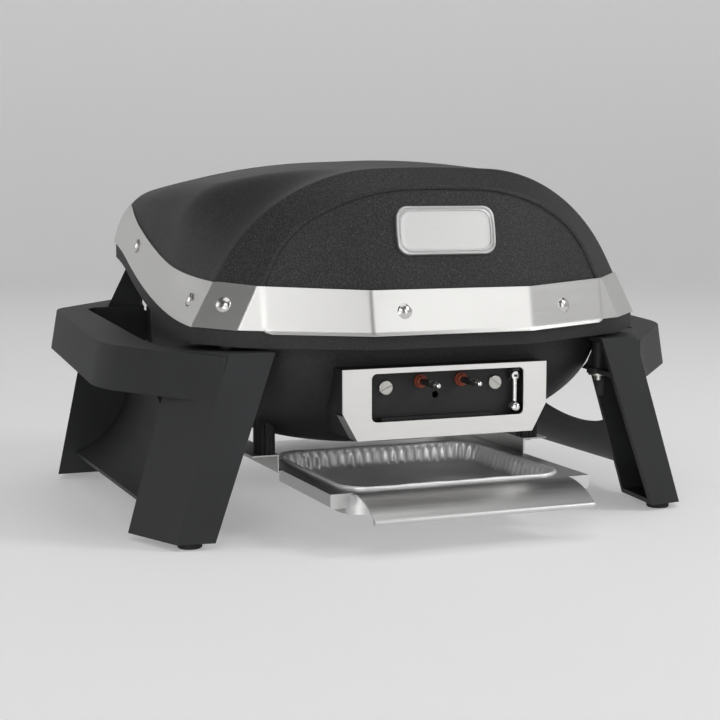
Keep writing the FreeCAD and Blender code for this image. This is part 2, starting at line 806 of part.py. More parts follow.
# Hinge: an eye on the lid between two ears on the bowl, with a pin through them
hingeY = size("rim_rear_y") + size("hinge_out")
hingeZ = partingHeight(size("rim_rear_y"))
eyeHalf = size("hinge_leaf") / 2
eye = size("hinge_eye_radius")
pinRadius = size("hinge_pin_radius")
lugs = []
ears = []
pins = []
lidSkin = lidBody(bandGap + bandThick + 0.05)
flangeSkin = rimPrism(0.45)
for sx in (-1, 1):
    x = sx * size("hinge_x")
    bore = rod(pinRadius + size("hinge_pin_play"), vec(x - 40, hingeY, hingeZ), vec(x + 40, hingeY, hingeZ))
    lug = rod(eye, vec(x - eyeHalf, hingeY, hingeZ), vec(x + eyeHalf, hingeY, hingeZ))
    leaf = block(x - eyeHalf, x + eyeHalf, size("rim_rear_y") - 30, hingeY, hingeZ, hingeZ + 28)
    leaf = leaf.common(block(x - eyeHalf, x + eyeHalf, 0, REACH, hingeZ + 0.6, REACH))
    lug = lug.fuse(leaf).cut(lidSkin).cut(bore)
    lugs.append(max(lug.Solids, key=lambda part: part.Volume))
    pinHalf = eyeHalf + size("hinge_leaf_gap") + size("hinge_plate") + 1.5
    pinRod = rod(pinRadius, vec(x - pinHalf, hingeY, hingeZ), vec(x + pinHalf, hingeY, hingeZ))
    pinHead = rod(pinRadius + 1.6, vec(x - pinHalf - 1.5, hingeY, hingeZ), vec(x - pinHalf, hingeY, hingeZ))
    pins.append(pinRod.fuse(pinHead))
    seatBore = rod(pinRadius + 0.02, vec(x - 40, hingeY, hingeZ), vec(x + 40, hingeY, hingeZ))
    pair = []
    for side in (-1, 1):
        near = x + side * (eyeHalf + size("hinge_leaf_gap"))
        far = near + side * size("hinge_plate")
        x0, x1 = sorted((near, far))
        ear = rod(eye, vec(x0, hingeY, hingeZ), vec(x1, hingeY, hingeZ))
        arm = block(x0, x1, size("rim_rear_y") - 30, hingeY, hingeZ - 12, hingeZ - 0.5)
        pair.append(ear.fuse(arm.cut(flangeSkin)))
    foot = block(x - eyeHalf - 3.6, x + eyeHalf + 3.6, size("rim_rear_y") - 30, hingeY - eye - 1,
                 hingeZ - 14, hingeZ - 11).cut(flangeSkin)
    pair.append(foot)
    bracket = pair[0].fuse(pair[1:]).cut(seatBore)
    ears.append(bracket)
featureNode("lid_hinge_eyes", Part.makeCompound(lugs))
featureNode("bowl_hinge_ears", Part.makeCompound(ears))
featureNode("hinge_pins", Part.makeCompound(pins))

# Heating element: one bent tube whose two ends leave through the front wall
def roundedPath(points, bend):
    edges = []
    start = points[0]
    for before, here, after in zip(points, points[1:], points[2:]):
        inward = (before - here).normalize()
        onward = (after - here).normalize()
        half = inward.getAngle(onward) / 2
        cut = bend / math.tan(half)
        first = here + inward * cut
        second = here + onward * cut
        centreWay = (inward + onward).normalize()
        middle = here + centreWay * (bend / math.sin(half) - bend)
        edges.append(line(start, first))
        edges.append(arc(first, middle, second))
        start = second
    edges.append(line(start, points[-1]))
    return Part.Wire(edges)


termX = size("terminal_x")
termZ = size("terminal_z")
elementFront = size("element_front_y")
elementRear = size("element_rear_y")
outX = size("element_outer_x")
inX = size("element_inner_x")
turnY = size("element_turn_y")
sleeveStart = size("bracket_face_y") + size("bracket_depth") - 5
elementStart = sleeveStart + 6
element_points = [
    (-termX, elementStart), (-termX, elementFront), (-outX, elementFront), (-outX, elementRear),
    (-inX, elementRear), (-inX, turnY), (inX, turnY), (inX, elementRear), (outX, elementRear),
    (outX, elementFront), (termX, elementFront), (termX, elementStart)]
elementPath = roundedPath([vec(x, y, termZ) for x, y in element_points], size("element_bend") * 0.9)
elementSection = Part.Wire(Part.makeCircle(size("element_radius"), vec(-termX, elementStart, termZ), vec(0, 1, 0)))
element = elementPath.makePipeShell([elementSection], True, False)
featureNode("heating_element", element)

# Clips that carry the element on the bowl floor
clips = []
for sx in (-1, 1):
    for y in (-60, 30):
        x = sx * outX
        clipTop = termZ + size("element_radius") + 2
        stem = block(x - 5, x + 5, y - 4, y + 4, 70, termZ)
        ring = rod(size("element_radius") + 2, vec(x, y - 4, termZ), vec(x, y + 4, termZ))
        clip = stem.fuse(ring).cut(rod(size("element_radius") + 0.2, vec(x, y - 9, termZ), vec(x, y + 9, termZ)))
        clip = clip.common(bowlSolid(-size("bowl_wall") - 0.1, 100, (0, 0.04, 0.15, 0.38, 0.68, 1), True))
        clips.append(clip)
featureNode("element_clips", Part.makeCompound(clips))

# Cooking grates: two halves, each a frame with bars from front to rear
def grateHalf():
    inner = size("grate_gap") / 2
    outer = size("grate_half")
    front = size("grate_front_y")
    rear = size("grate_rear_y")
    low = size("grate_rest_z") + 0.2
    high = low + size("grate_thick")
    border = size("grate_border")
    frame = block(inner, outer, front, rear, low, high)
    cutout = block(inner + border, outer - border, front + border, rear - border, low - 1, high + 1)
    frame = frame.cut(cutout)
    count = int(size("grate_bars"))
    span = outer - inner - 2 * border
    bars = []
    for i in range(count):
        x = inner + border + span * (i + 1) / (count + 1)
        halfBar = size("grate_bar") / 2
        profile = Part.makePolygon([
            vec(x - halfBar * 0.6, front + 2, low + 2), vec(x + halfBar * 0.6, front + 2, low + 2),
            vec(x + halfBar, front + 2, high), vec(x - halfBar, front + 2, high),
            vec(x - halfBar * 0.6, front + 2, low + 2)])
        bars.append(Part.Face(profile).extrude(vec(0, rear - front - 4, 0)))
    return frame.fuse(bars)


grateRight = tidy(grateHalf())
featureNode("cooking_grate_right", grateRight)
featureNode("cooking_grate_left", mirrored(grateRight))

# Terminal housing and what is mounted on it
faceY = size("bracket_face_y")
housingFace = faceY + size("bracket_depth") - 5
sheetSteel = size("bracket_sheet")


def bracketOutline(inset, y):
    half = size("bracket_half") - inset
    low = size("bracket_low_half") - inset
    top = size("bracket_top_z") - inset
    mid = size("bracket_mid_z") + inset * 0.3
    base = size("bracket_low_z") + inset
    return Part.makePolygon([
        vec(-half, y, top), vec(half, y, top), vec(half, y, mid), vec(low, y, base),
        vec(-low, y, base), vec(-half, y, mid), vec(-half, y, top)])


bowlClear = bowlSolid(0.3, 60)
plateBack = faceY + sheetSteel + 0.02
foldDepth = size("bracket_depth")
belowFold = block(-REACH, REACH, -REACH, faceY + foldDepth + 0.2, 0, size("bracket_mid_z"))
housing = Part.Face(bracketOutline(0, plateBack)).extrude(vec(0, 90, 0)).cut(bowlClear)
housing = housing.common(block(-REACH, REACH, -REACH, -150, 0, REACH))
housing = max(housing.Solids, key=lambda part: part.Volume)
foldRoom = Part.Face(bracketOutline(-1, plateBack - 1)).extrude(vec(0, 90, 0)).cut(
    Part.Face(bracketOutline(sheetSteel + 0.05, plateBack - 1)).extrude(vec(0, 90, 0))).common(belowFold)
wallThick = size("housing_wall")
recess = Part.Face(bracketOutline(wallThick + sheetSteel, plateBack)).extrude(vec(0, housingFace - plateBack, 0))
housing = housing.cut(foldRoom).cut(recess)
rear = housingFace + wallThick
housing = housing.cut(Part.Face(bracketOutline(wallThick + sheetSteel, rear)).extrude(vec(0, 90, 0)))
# The ledge stops short of the latch, so that its knob swings past
ledge = block(-62, 52, housingFace - 8, housingFace + 1, size("window_low_z") - 1, size("window_low_z") + 2.5)
housing = housing.fuse(ledge).cut(rod(3.2, vec(-5, housingFace - 9, 124.7), vec(-5, housingFace + 9, 124.7)))
housing = housing.cut(Part.makeCompound([
    rod(size("element_radius") + 0.2, vec(sx * termX, -260, termZ), vec(sx * termX, -100, termZ))
    for sx in (-1, 1)]))
screwX = size("house_screw_x")
screwZ = size("house_screw_z")
housing = housing.cut(Part.makeCompound([
    rod(2.1, vec(sx * screwX, housingFace - 5, screwZ), vec(sx * screwX, housingFace + 8, screwZ))
    for sx in (-1, 1)]))
latchX = size("latch_x")
latchZ = size("latch_pivot_z")
featureNode("terminal_housing", housing)

# Steel bracket in front: a folded tray on its side with a window
bracket = Part.Face(bracketOutline(0, faceY)).extrude(vec(0, foldDepth, 0))
bracket = bracket.cut(Part.Face(bracketOutline(sheetSteel, faceY + sheetSteel)).extrude(vec(0, foldDepth, 0)))
bracket = bracket.cut(block(-REACH, REACH, faceY + sheetSteel, 0, size("bracket_mid_z") - 3, REACH))
windowBox = block(size("window_left"), size("window_right"), faceY - 5, faceY + 5,
                  size("window_low_z"), size("window_top_z"))
windowEdges = [e for e in windowBox.Edges if abs(e.tangentAt(e.FirstParameter).y) > 0.99]
window = windowBox.makeFillet(size("window_corner"), windowEdges)
bracket = bracket.cut(window)
featureNode("terminal_bracket", tidy(bracket))

# Bushings, insulating sleeves and metal pins of the two terminals
bushings = []
sleeves = []
metalPins = []
sleeveEnd = housingFace - size("terminal_reach") + size("terminal_tip")
for sx in (-1, 1):
    x = sx * termX
    radius = size("bushing_radius")
    reach = size("bushing_reach")
    back = housingFace - 0.02
    body = rod(radius * 0.8, vec(x, back, termZ), vec(x, back - reach, termZ))
    collarRing = rod(radius, vec(x, back, termZ), vec(x, back - reach * 0.45, termZ))
    bushing = body.fuse(collarRing)
    bushing = bushing.cut(rod(size("terminal_neck") + size("bushing_play"), vec(x, back + 5, termZ),
                              vec(x, back - 30, termZ)))
    bushings.append(bushing)
    shoulderY = housingFace - reach - 1
    neck = rod(size("terminal_neck"), vec(x, elementStart - 0.05, termZ), vec(x, shoulderY, termZ))
    sleeve = neck.fuse(rod(size("terminal_radius"), vec(x, shoulderY, termZ), vec(x, sleeveEnd, termZ)))
    tip = size("tip_radius")
    pinStart = sleeveEnd + 12
    sleeves.append(sleeve.cut(rod(tip + 0.02, vec(x, pinStart, termZ), vec(x, sleeveEnd - 5, termZ))))
    metalPins.append(rod(tip, vec(x, pinStart, termZ), vec(x, housingFace - size("terminal_reach"), termZ)))
featureNode("terminal_bushings", Part.makeCompound(bushings))
featureNode("terminal_sleeves", Part.makeCompound(sleeves))
featureNode("terminal_pins", Part.makeCompound(metalPins))

houseScrews = []
for sx in (-1, 1):
    x = sx * screwX
    radius = size("house_screw_head")
    back = housingFace - 0.02
    head = rod(radius, vec(x, back, screwZ), vec(x, back - 3.2, screwZ))
    rimEdges = [e for e in head.Edges if abs(e.CenterOfMass.y - (back - 3.2)) < 0.01]
    head = head.makeFillet(1.2, rimEdges)
    slot = block(x - radius, x + radius, back - 4, back - 2, screwZ - 0.8, screwZ + 0.8)
    slot.rotate(vec(x, back, screwZ), vec(0, 1, 0), 24)
    shank = rod(2, vec(x, back - 1, screwZ), vec(x, back + 7, screwZ))
    houseScrews.append(head.cut(slot).fuse(shank))
featureNode("housing_screws", Part.makeCompound(houseScrews))

# Latch: a dark clip holds a pivot from which a rod with a round knob hangs
rodY = (faceY + sheetSteel + housingFace) / 2
clipBlock = block(latchX - 4.5, latchX + 6.5, rodY + 3.4, housingFace - 0.02, latchZ - 4.5, latchZ + 7)
clipHood = block(latchX - 4.5, latchX + 6.5, rodY - 3.6, rodY + 3.4, latchZ + 5, latchZ + 7)
pivot = rod(1.2, vec(latchX, rodY + 3.5, latchZ), vec(latchX, rodY - 3, latchZ))
featureNode("latch_clip", clipBlock.fuse(clipHood).fuse(pivot))
eyeRing = rod(4, vec(latchX, rodY + 1.6, latchZ), vec(latchX, rodY - 1.6, latchZ))
latchRod = rod(size("latch_rod_radius"), vec(latchX, rodY, latchZ - 2), vec(latchX, rodY, size("latch_knob_z") + 3))
latchRod = latchRod.fuse(eyeRing).cut(rod(1.26, vec(latchX, rodY + 9, latchZ), vec(latchX, rodY - 9, latchZ)))
knob = Part.makeSphere(size("latch_knob_radius"), vec(latchX, rodY, size("latch_knob_z")))
knob = knob.cut(rod(size("latch_rod_radius") + 0.02, vec(latchX, rodY, size("latch_knob_z") + 3),
                    vec(latchX, rodY, size("latch_knob_z") + 20)))
latchRod = latchRod.cut(knob)
featureNode("latch_rod", latchRod)
featureNode("latch_knob", knob)

# Rails under the bowl: a folded strip with a top flange, a web and a lip
def railProfile():
    web = size("rail_web_x")
    steel = size("rail_sheet")
    top = size("rail_top_z")
    lip = size("rail_lip_z")
    flangeEnd = web + size("rail_flange")
    lipEnd = web - steel - size("rail_lip")
    y = size("rail_front_y")
    points = [
        (flangeEnd, top), (web - steel, top), (web - steel, lip + steel), (lipEnd, lip + steel),
        (lipEnd, lip), (web, lip), (web, top - steel), (flangeEnd, top - steel), (flangeEnd, top)]
    return Part.makePolygon([vec(x, y, z) for x, z in points])


railRight = Part.Face(railProfile()).extrude(vec(0, size("rail_rear_y") - size("rail_front_y"), 0))
for x, y in postPlaces:
    if x > 0:
        railRight = railRight.cut(rod(2.1, vec(x, y, 0), vec(x, y, REACH)))
railRight.translate(vec(0, 0, -0.02))
featureNode("rail_right", railRight)
featureNode("rail_left", mirrored(railRight))
railScrews = []
for x, y in postPlaces:
    under = size("rail_top_z") - size("rail_sheet") - 0.04
    shank = rod(2, vec(x, y, under - 1), vec(x, y, size("rail_top_z") + railScrewDepth - 2))
    head = rod(4.2, vec(x, y, under - 2.4), vec(x, y, under))
    railScrews.append(shank.fuse(head))
featureNode("rail_screws", Part.makeCompound(railScrews))

# Drip tray: a folded sheet pan with a rim that runs on the rail lips, and a rolled handle lip
trayHalf = size("rail_web_x") - size("rail_sheet") - size("tray_clear")
traySheet = size("tray_sheet")
rimLow = size("rail_lip_z") + size("rail_sheet") + 0.1
rimTop = rimLow + traySheet
trayFront = size("tray_front_y")
trayRear = size("tray_rear_y")
foilHalf = size("foil_half")
foilFront = size("foil_front_y")
foilRear = size("foil_rear_y")
holeHalf = foilHalf + size("foil_clear")
holeFront = foilFront - size("foil_clear")
holeRear = foilRear + size("foil_clear")
floorZ = rimTop - size("tray_drop")


def roundedPrism(half, frontY, rearY, corner, z0, z1):
    box = block(-half, half, frontY, rearY, z0, z1)
    uprights = [e for e in box.Edges if abs(e.tangentAt(e.FirstParameter).z) > 0.99]
    return box.makeFillet(corner, uprights)


foilCorner = size("foil_corner")
tray = block(-trayHalf, trayHalf, trayFront, trayRear, rimLow, rimTop)
pan = roundedPrism(holeHalf + traySheet, holeFront - traySheet, holeRear + traySheet, foilCorner + traySheet,
                   floorZ, rimTop)
tray = tray.fuse(pan)
tray = tray.cut(roundedPrism(holeHalf, holeFront, holeRear, foilCorner, floorZ + traySheet, rimTop + 5))
lipLeft = size("tray_lip_left")
tabHeight = size("tray_tab_height")
for x0, x1 in ((-trayHalf, lipLeft - 3), (-lipLeft + 3, trayHalf)):
    tab = block(x0, x1, trayFront, trayFront + traySheet, rimTop - tabHeight, rimTop)
    cornerEdges = [e for e in tab.Edges if abs(e.tangentAt(e.FirstParameter).y) > 0.99
                   and e.CenterOfMass.z < rimTop - tabHeight / 2]
    tray = tray.fuse(tab.makeFillet(3.5, cornerEdges))
lipY = size("tray_lip_y")
lipZ = rimTop - size("tray_lip_drop")
lipStart = vec(0, trayFront + 1, rimTop)
lipRun = vec(0, lipY, lipZ)
crest = vec(0, trayFront + (lipY - trayFront) * 0.55, rimTop - size("tray_lip_drop") * 0.3)
drop = vec(0, 0, -traySheet)
lipFace = Part.Face(Part.Wire([
    arc(lipStart, crest, lipRun),
    line(lipRun, lipRun + drop),
    arc(lipRun + drop, crest + drop, lipStart + drop),
    line(lipStart + drop, lipStart)]))
lip = lipFace.extrude(vec(-2 * lipLeft, 0, 0))
lip.translate(vec(lipLeft, 0, 0))
hem = rod(2.6, vec(lipLeft, lipY + 1, lipZ - 2.4), vec(-lipLeft, lipY + 1, lipZ - 2.4))
tray = tray.fuse(lip).fuse(hem)
featureNode("drip_tray", tidy(tray))

# Foil pan: a thin tapered dish whose rolled rim rests on the tray
foilTop = rimTop + 0.15
foilTaper = size("foil_taper")
foilSheet = size("foil_sheet")
foilFloor = foilTop - size("foil_depth")


def foilDish(grow, z0, z1):
    def outline(inset, z):
        return roundedOutline(foilHalf - inset + grow, foilFront + inset - grow, foilRear - inset + grow,
                              foilCorner - inset * 0.4 + grow, z)
    return Part.makeLoft([outline(foilTaper, z0), outline(0, z1)], True, True)


dish = foilDish(0, foilFloor, foilTop + 1).cut(foilDish(-foilSheet, foilFloor + foilSheet, foilTop + 1.01))
brim = roundedPrism(foilHalf + 3, foilFront - 3, foilRear + 3, foilCorner + 3, foilTop, foilTop + 2.2)
brim = brim.cut(roundedPrism(foilHalf - foilSheet, foilFront + foilSheet, foilRear - foilSheet,
                             foilCorner - foilSheet, foilTop - 1, foilTop + 5))
foil = dish.fuse(brim)
featureNode("foil_pan", tidy(foil))

# Leg frame: front leg, taller rear leg, loop grip and scooped web, moulded in one
footTop = size("foot_height")


def quad(points, z):
    return Part.makePolygon([vec(x, y, z) for x, y in points] + [vec(points[0][0], points[0][1], z)])


def legFrame():
    deep = size("leg_half_depth")
    inner = size("leg_inner_depth")
    topZ = size("leg_top_z")
    footOut = size("leg_foot_out")
    footFront = size("leg_foot_front")
    footIn = size("leg_foot_in")
    headOut = size("leg_head_out")
    headFront = size("leg_head_front")
    headIn = size("leg_head_in")
    wall = size("leg_wall")

    def legSolid(levels, inset, end):
        sections = []
        for level, corners in levels:
            inner, nose, outer, back = corners
            z = min(max(level, footTop + inset), levels[-1][0] - inset)
            away = 40 if inset else 0
            sections.append(quad([
                (inner[0] - away, inner[1] - end * inset), (nose[0] - inset, nose[1] - end * inset),
                (outer[0] - inset, outer[1] + end * inset), (back[0] - away, back[1] + end * inset)], z))
        return Part.makeLoft(sections, True, True)

    frontLevels = [
        (footTop, [(footIn, -deep - 5), (footFront, -deep), (footOut, -inner), (footIn + 8, -inner)]),
        (topZ, [(headIn, -deep - 1), (headFront, -deep + 4), (headOut, -inner - 7), (headIn + 12, -inner - 4)])]
    peak = size("rear_peak_z")
    rearLevels = [
        (footTop, [(footIn, deep + 5), (footFront, deep), (footOut, inner), (footIn + 8, inner)]),
        (topZ * 0.7, [(headIn + 22, deep - 12), (headFront + 20, deep - 18), (headOut + 22, inner - 12),
                      (headIn + 38, inner - 14)]),
        (peak, [(headIn + 14, deep - 68), (headFront - 2, deep - 72), (headOut - 26, inner - 58),
                (headIn + 34, inner - 60)])]
    frontOuter = legSolid(frontLevels, 0, -1)
    rearOuter = legSolid(rearLevels, 0, 1)
    front = frontOuter.cut(legSolid(frontLevels, wall, -1))
    rear = rearOuter.cut(legSolid(rearLevels, wall, 1))
    high = REACH
    gripOut = size("grip_outer")
    gripIn = size("grip_inner")
    flare = size("grip_flare")
    gripFront = size("grip_front_y")
    gripRear = size("grip_rear_y")

    def loop(outX, grow, z):
        near = -deep + 6 - grow
        far = deep - 46 + grow
        p = [
            vec(headFront - 12, near, z), vec(headFront + 6, near, z), vec(outX - 12, gripFront - 34, z),
            vec(outX - 3, gripFront - 16, z), vec(outX, gripFront, z), vec(outX, gripRear - 8, z),
            vec(outX - 3, gripRear + 6, z), vec(outX - 12, gripRear + 18, z), vec(headFront + 4, far, z),
            vec(headFront - 12, far, z)]
        return Part.Wire([
            line(p[0], p[1]), line(p[1], p[2]), arc(p[2], p[3], p[4]), line(p[4], p[5]),
            arc(p[5], p[6], p[7]), line(p[7], p[8]), line(p[8], p[9]), line(p[9], p[0])])

    lowLevel = 100
    highLevel = 220
    spread = flare * (highLevel - lowLevel) / size("grip_height")
    outerLoop = Part.makeLoft([loop(gripOut + spread * 0.6, 2, lowLevel), loop(gripOut - spread * 0.4, 0, highLevel)],
                              True, True)

    def loopBand(outX, inX):
        return block(inX, outX, gripFront - 20, gripRear + 6, 0, high).cut(Part.makeCompound([
            block(outX - 14, high, gripFront - 60, gripFront + 2, 0, high),
            block(outX - 14, high, gripRear - 6, gripRear + 60, 0, high)]))

    innerLoop = Part.makeLoft([
        Part.makePolygon([vec(x, y, z) for x, y in (
            (gripIn - 60, gripFront - 52), (gripIn - 8, gripFront - 46), (gripIn, gripFront - 10),
            (gripIn + 6, gripRear), (gripIn - 4, gripRear + 12), (gripIn - 60, gripRear + 16),
            (gripIn - 60, gripFront - 52))]) for z in (lowLevel - 1, highLevel + 1)], True, True)
    slope = size("grip_slope")
    levelFront = size("grip_front_z")
    height = size("grip_height")
    span = 2 * deep
    tilt = Part.Face(Part.makePolygon([
        vec(0, -deep - 20, levelFront - height - slope * 20), vec(0, -deep - 20, levelFront - slope * 20),
        vec(0, deep + 20, levelFront + slope * (span + 20)),
        vec(0, deep + 20, levelFront - height + slope * (span + 20) + 4),
        vec(0, -deep - 20, levelFront - height - slope * 20)])).extrude(vec(high, 0, 0))
    grip = outerLoop.cut(innerLoop).common(tilt)
    lowTilt = tilt.copy()
    lowTilt.translate(vec(0, 0, -wall))
    channel = loopBand(gripOut - wall - spread * 0.4, gripIn + wall).common(lowTilt)
    channel = channel.common(block(0, high, gripFront - 20, gripRear + 6, 0, high))
    grip = grip.cut(channel)

    lowX = size("web_low_x")
    lowZ = size("web_low_z")
    highX = size("web_high_x")
    highZ = size("web_high_z")
    thick = size("web_thick")
    bulge = vec((lowX + highX) / 2 - 14, 0, (lowZ + highZ) / 2 - 16)
    webFace = Part.Face(Part.Wire([
        arc(vec(lowX, 0, lowZ), bulge, vec(highX, 0, highZ)),
        line(vec(highX, 0, highZ), vec(highX - thick, 0, highZ)),
        arc(vec(highX - thick, 0, highZ), vec(bulge.x - thick * 0.8, 0, bulge.z - thick * 0.8),
            vec(lowX - 2, 0, lowZ - thick)),
        line(vec(lowX - 2, 0, lowZ - thick), vec(lowX, 0, lowZ))]))
    webFace.translate(vec(0, -inner - 6, 0))
    web = webFace.extrude(vec(0, 2 * inner + 12, 0))
    scoop = rod(size("web_scoop"), vec(0, size("web_scoop_y"), size("web_scoop_z") + size("web_scoop")),
                vec(high, size("web_scoop_y"), size("web_scoop_z") + size("web_scoop")))
    web = web.cut(scoop)
    under = rod(360, vec(0, 0, lowZ - 368), vec(high, 0, lowZ - 368))
    web = web.cut(under)
    frame = front.fuse([rear, grip, web])
    thickness = size("lug_thick")
    halfLug = size("lug_width") / 2
    for (x, y, z), leg, other in ((frontBoss, frontOuter, 14), (rearBoss, rearOuter, 22)):
        low = z - thickness - 0.05
        shelf = leg.common(block(0, high, -high, high, low, z - 0.05))
        lug = rod(halfLug, vec(x, y, low), vec(x, y, z - 0.05))
        lug = lug.fuse(block(x, x + other, y - halfLug, y + halfLug, low, z - 0.05))
        frame = frame.fuse([shelf, lug])
        frame = frame.cut(rod(size("bolt_radius") + 0.2, vec(x, y, z - 20), vec(x, y, z + 5)))
    return frame


flangeRoom = rimPrism(-1).common(
    partingSlab(-rimGap - size("flange_height") - 1.5, 40, frontSlope, frontSlope))
frameRight = legFrame().cut(bowlSolid(1.5, 60)).cut(flangeRoom)
frameRight = frameRight.cut([
    rod(size("boss_radius") + 0.6, vec(x, y, z - 0.04), vec(x, y, z + 60)) for x, y, z in (frontBoss, rearBoss)])
frameRight = frameRight.cut([
    rod(size("washer_radius") + 1, vec(x, y, z - 30), vec(x, y, z - size("lug_thick") - 0.06))
    for x, y, z in (frontBoss, rearBoss)])
frameRight = max(frameRight.Solids, key=lambda part: part.Volume)
featureNode("leg_frame_right", tidy(frameRight))
featureNode("leg_frame_left", mirrored(tidy(frameRight)))

# Fixings of the leg frames: a washer and a bolt under each boss
washers = []
bolts = []
for x, y, end in bossPlaces:
    z = end - size("lug_thick") - 0.08
    thick = size("washer_thick")
    washer = rod(size("washer_radius"), vec(x, y, z - thick), vec(x, y, z))
    washers.append(washer.cut(rod(size("bolt_radius") + 0.2, vec(x, y, z - 9), vec(x, y, z + 9))))
    headTop = z - thick - 0.03
    head = rod(size("bolt_head"), vec(x, y, headTop - size("bolt_head_height")), vec(x, y, headTop))
    bolts.append(head.fuse(rod(size("bolt_radius"), vec(x, y, headTop - 1), vec(x, y, end + 18))))
featureNode("frame_washers", Part.makeCompound(washers))
featureNode("frame_bolts", Part.makeCompound(bolts))

# Rubber feet under the four legs
feet = []
for sx in (-1, 1):
    for sy in (-1, 1):
        x = sx * (size("leg_foot_in") + size("foot_inset") + 4)
        y = sy * (size("leg_half_depth") - size("foot_inset"))
        foot = rod(size("foot_radius"), vec(x, y, 0), vec(x, y, size("foot_height") - 0.02))
        lowEdges = [e for e in foot.Edges if e.CenterOfMass.z < 0.01]
        feet.append(foot.makeChamfer(1, lowEdges))
featureNode("rubber_feet", Part.makeCompound(feet))

doc.recompute()
bad = [obj.Label for obj in doc.Objects if "Invalid" in obj.State or "Error" in obj.State]
if bad:
    raise RuntimeError("failed objects: %s" % bad)
for obj in nodes:
    shape = obj.Shape
    if shape.isNull() or not shape.isValid() or not shape.Solids:
        raise RuntimeError("bad shape: %s" % obj.Label)
    print(obj.Label, len(shape.Solids), round(shape.Volume))

os.makedirs("parts", exist_ok=True)
for obj in nodes:
    obj.Shape.exportStep("parts/%s.step" % obj.Label)
print("written", len(nodes))
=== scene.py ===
import json
import math

import bmesh
import bpy
import numpy as np
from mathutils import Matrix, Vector


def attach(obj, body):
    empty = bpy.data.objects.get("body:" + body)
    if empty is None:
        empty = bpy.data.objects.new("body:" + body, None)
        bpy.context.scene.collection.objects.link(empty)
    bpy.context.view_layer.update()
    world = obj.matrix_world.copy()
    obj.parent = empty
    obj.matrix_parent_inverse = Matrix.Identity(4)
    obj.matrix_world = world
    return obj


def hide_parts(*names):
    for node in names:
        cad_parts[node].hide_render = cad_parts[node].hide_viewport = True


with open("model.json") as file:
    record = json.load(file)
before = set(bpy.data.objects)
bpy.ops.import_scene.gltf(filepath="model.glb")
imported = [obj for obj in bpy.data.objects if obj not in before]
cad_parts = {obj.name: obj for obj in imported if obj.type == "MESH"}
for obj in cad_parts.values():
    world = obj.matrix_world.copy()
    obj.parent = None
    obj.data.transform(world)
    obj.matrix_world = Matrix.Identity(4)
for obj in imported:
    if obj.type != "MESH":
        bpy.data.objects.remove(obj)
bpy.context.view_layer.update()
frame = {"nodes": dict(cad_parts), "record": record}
cadNodes = frame["nodes"]
nodeSlots = {row["node"]: row["material_slot"] for row in frame["record"]["subparts"]}
nodeBodies = {node: body for body, names in frame["record"]["behaviour"]["bodies"].items() for node in names}
print("frame loaded", len(cadNodes), "nodes")

# Everything below is worked out in millimetres with y = 0 midway between the legs, then shifted to the frame
frameShift = 42.5


# Millimetres to the frame's metres
def toFrame(points):
    out = np.asarray(points, float).copy()
    out[..., 1] += frameShift
    return out / 1000


def lerp(a, b, share):
    return a + (b - a) * share


# A smooth step, three squares less two cubes
def ease(value):
    share = np.clip(value, 0, 1)
    return share * share * (3 - 2 * share)


# Meshes
def putInScene(name, data):
    thing = bpy.data.objects.new(name, data)
    bpy.context.scene.collection.objects.link(thing)
    return thing


# A piece that stands for a CAD node: it rides on the node's body, and the node is hidden
def standFor(piece, node):
    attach(piece, nodeBodies[node])
    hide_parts(node)


def addPiece(name, points, faces, node, finish, smoothAngle, closed=False):
    mesh = bpy.data.meshes.new(name)
    mesh.from_pydata(np.asarray(points).reshape(-1, 3).tolist(), [], faces)
    mesh.validate()
    piece = putInScene(name, mesh)
    weldAndSmooth(mesh, smoothAngle, 0, closed)
    mesh.materials.append(finish)
    standFor(piece, node)
    return piece


# All faces smooth, and only folds sharper than the angle stay sharp
def shadeSmooth(work, smoothAngle):
    for face in work.faces:
        face.smooth = True
    for edge in work.edges:
        edge.smooth = len(edge.link_faces) == 2 and edge.calc_face_angle(0) < math.radians(smoothAngle)


# Points closer than a hundredth of a millimetre are joined, and nearly flat neighbours too where it is asked
def weldAndSmooth(mesh, smoothAngle, flatten=0, closed=False):
    work = bmesh.new()
    work.from_mesh(mesh)
    bmesh.ops.remove_doubles(work, verts=work.verts, dist=1e-5)
    bmesh.ops.dissolve_degenerate(work, edges=work.edges, dist=1e-6)
    if flatten:
        bmesh.ops.dissolve_limit(work, angle_limit=math.radians(flatten), verts=work.verts, edges=work.edges)
    if closed:
        bmesh.ops.recalc_face_normals(work, faces=work.faces)
    shadeSmooth(work, smoothAngle)
    work.to_mesh(mesh)
    work.free()


# Quads of a grid with the given rows and columns; wrap joins the last column to the first
def gridFaces(rows, columns, wrap=False, flip=False):
    cells = columns if wrap else columns - 1
    r, c = np.meshgrid(np.arange(rows - 1), np.arange(cells), indexing="ij")
    nextColumn = (c + 1) % columns
    quads = np.stack([r * columns + c, r * columns + nextColumn,
                      (r + 1) * columns + nextColumn, (r + 1) * columns + c], -1).reshape(-1, 4)
    return (quads[:, ::-1] if flip else quads).tolist()


def addModifier(piece, name, kind, **settings):
    modifier = piece.modifiers.new(name, kind)
    for key, value in settings.items():
        setattr(modifier, key, value)
    return modifier


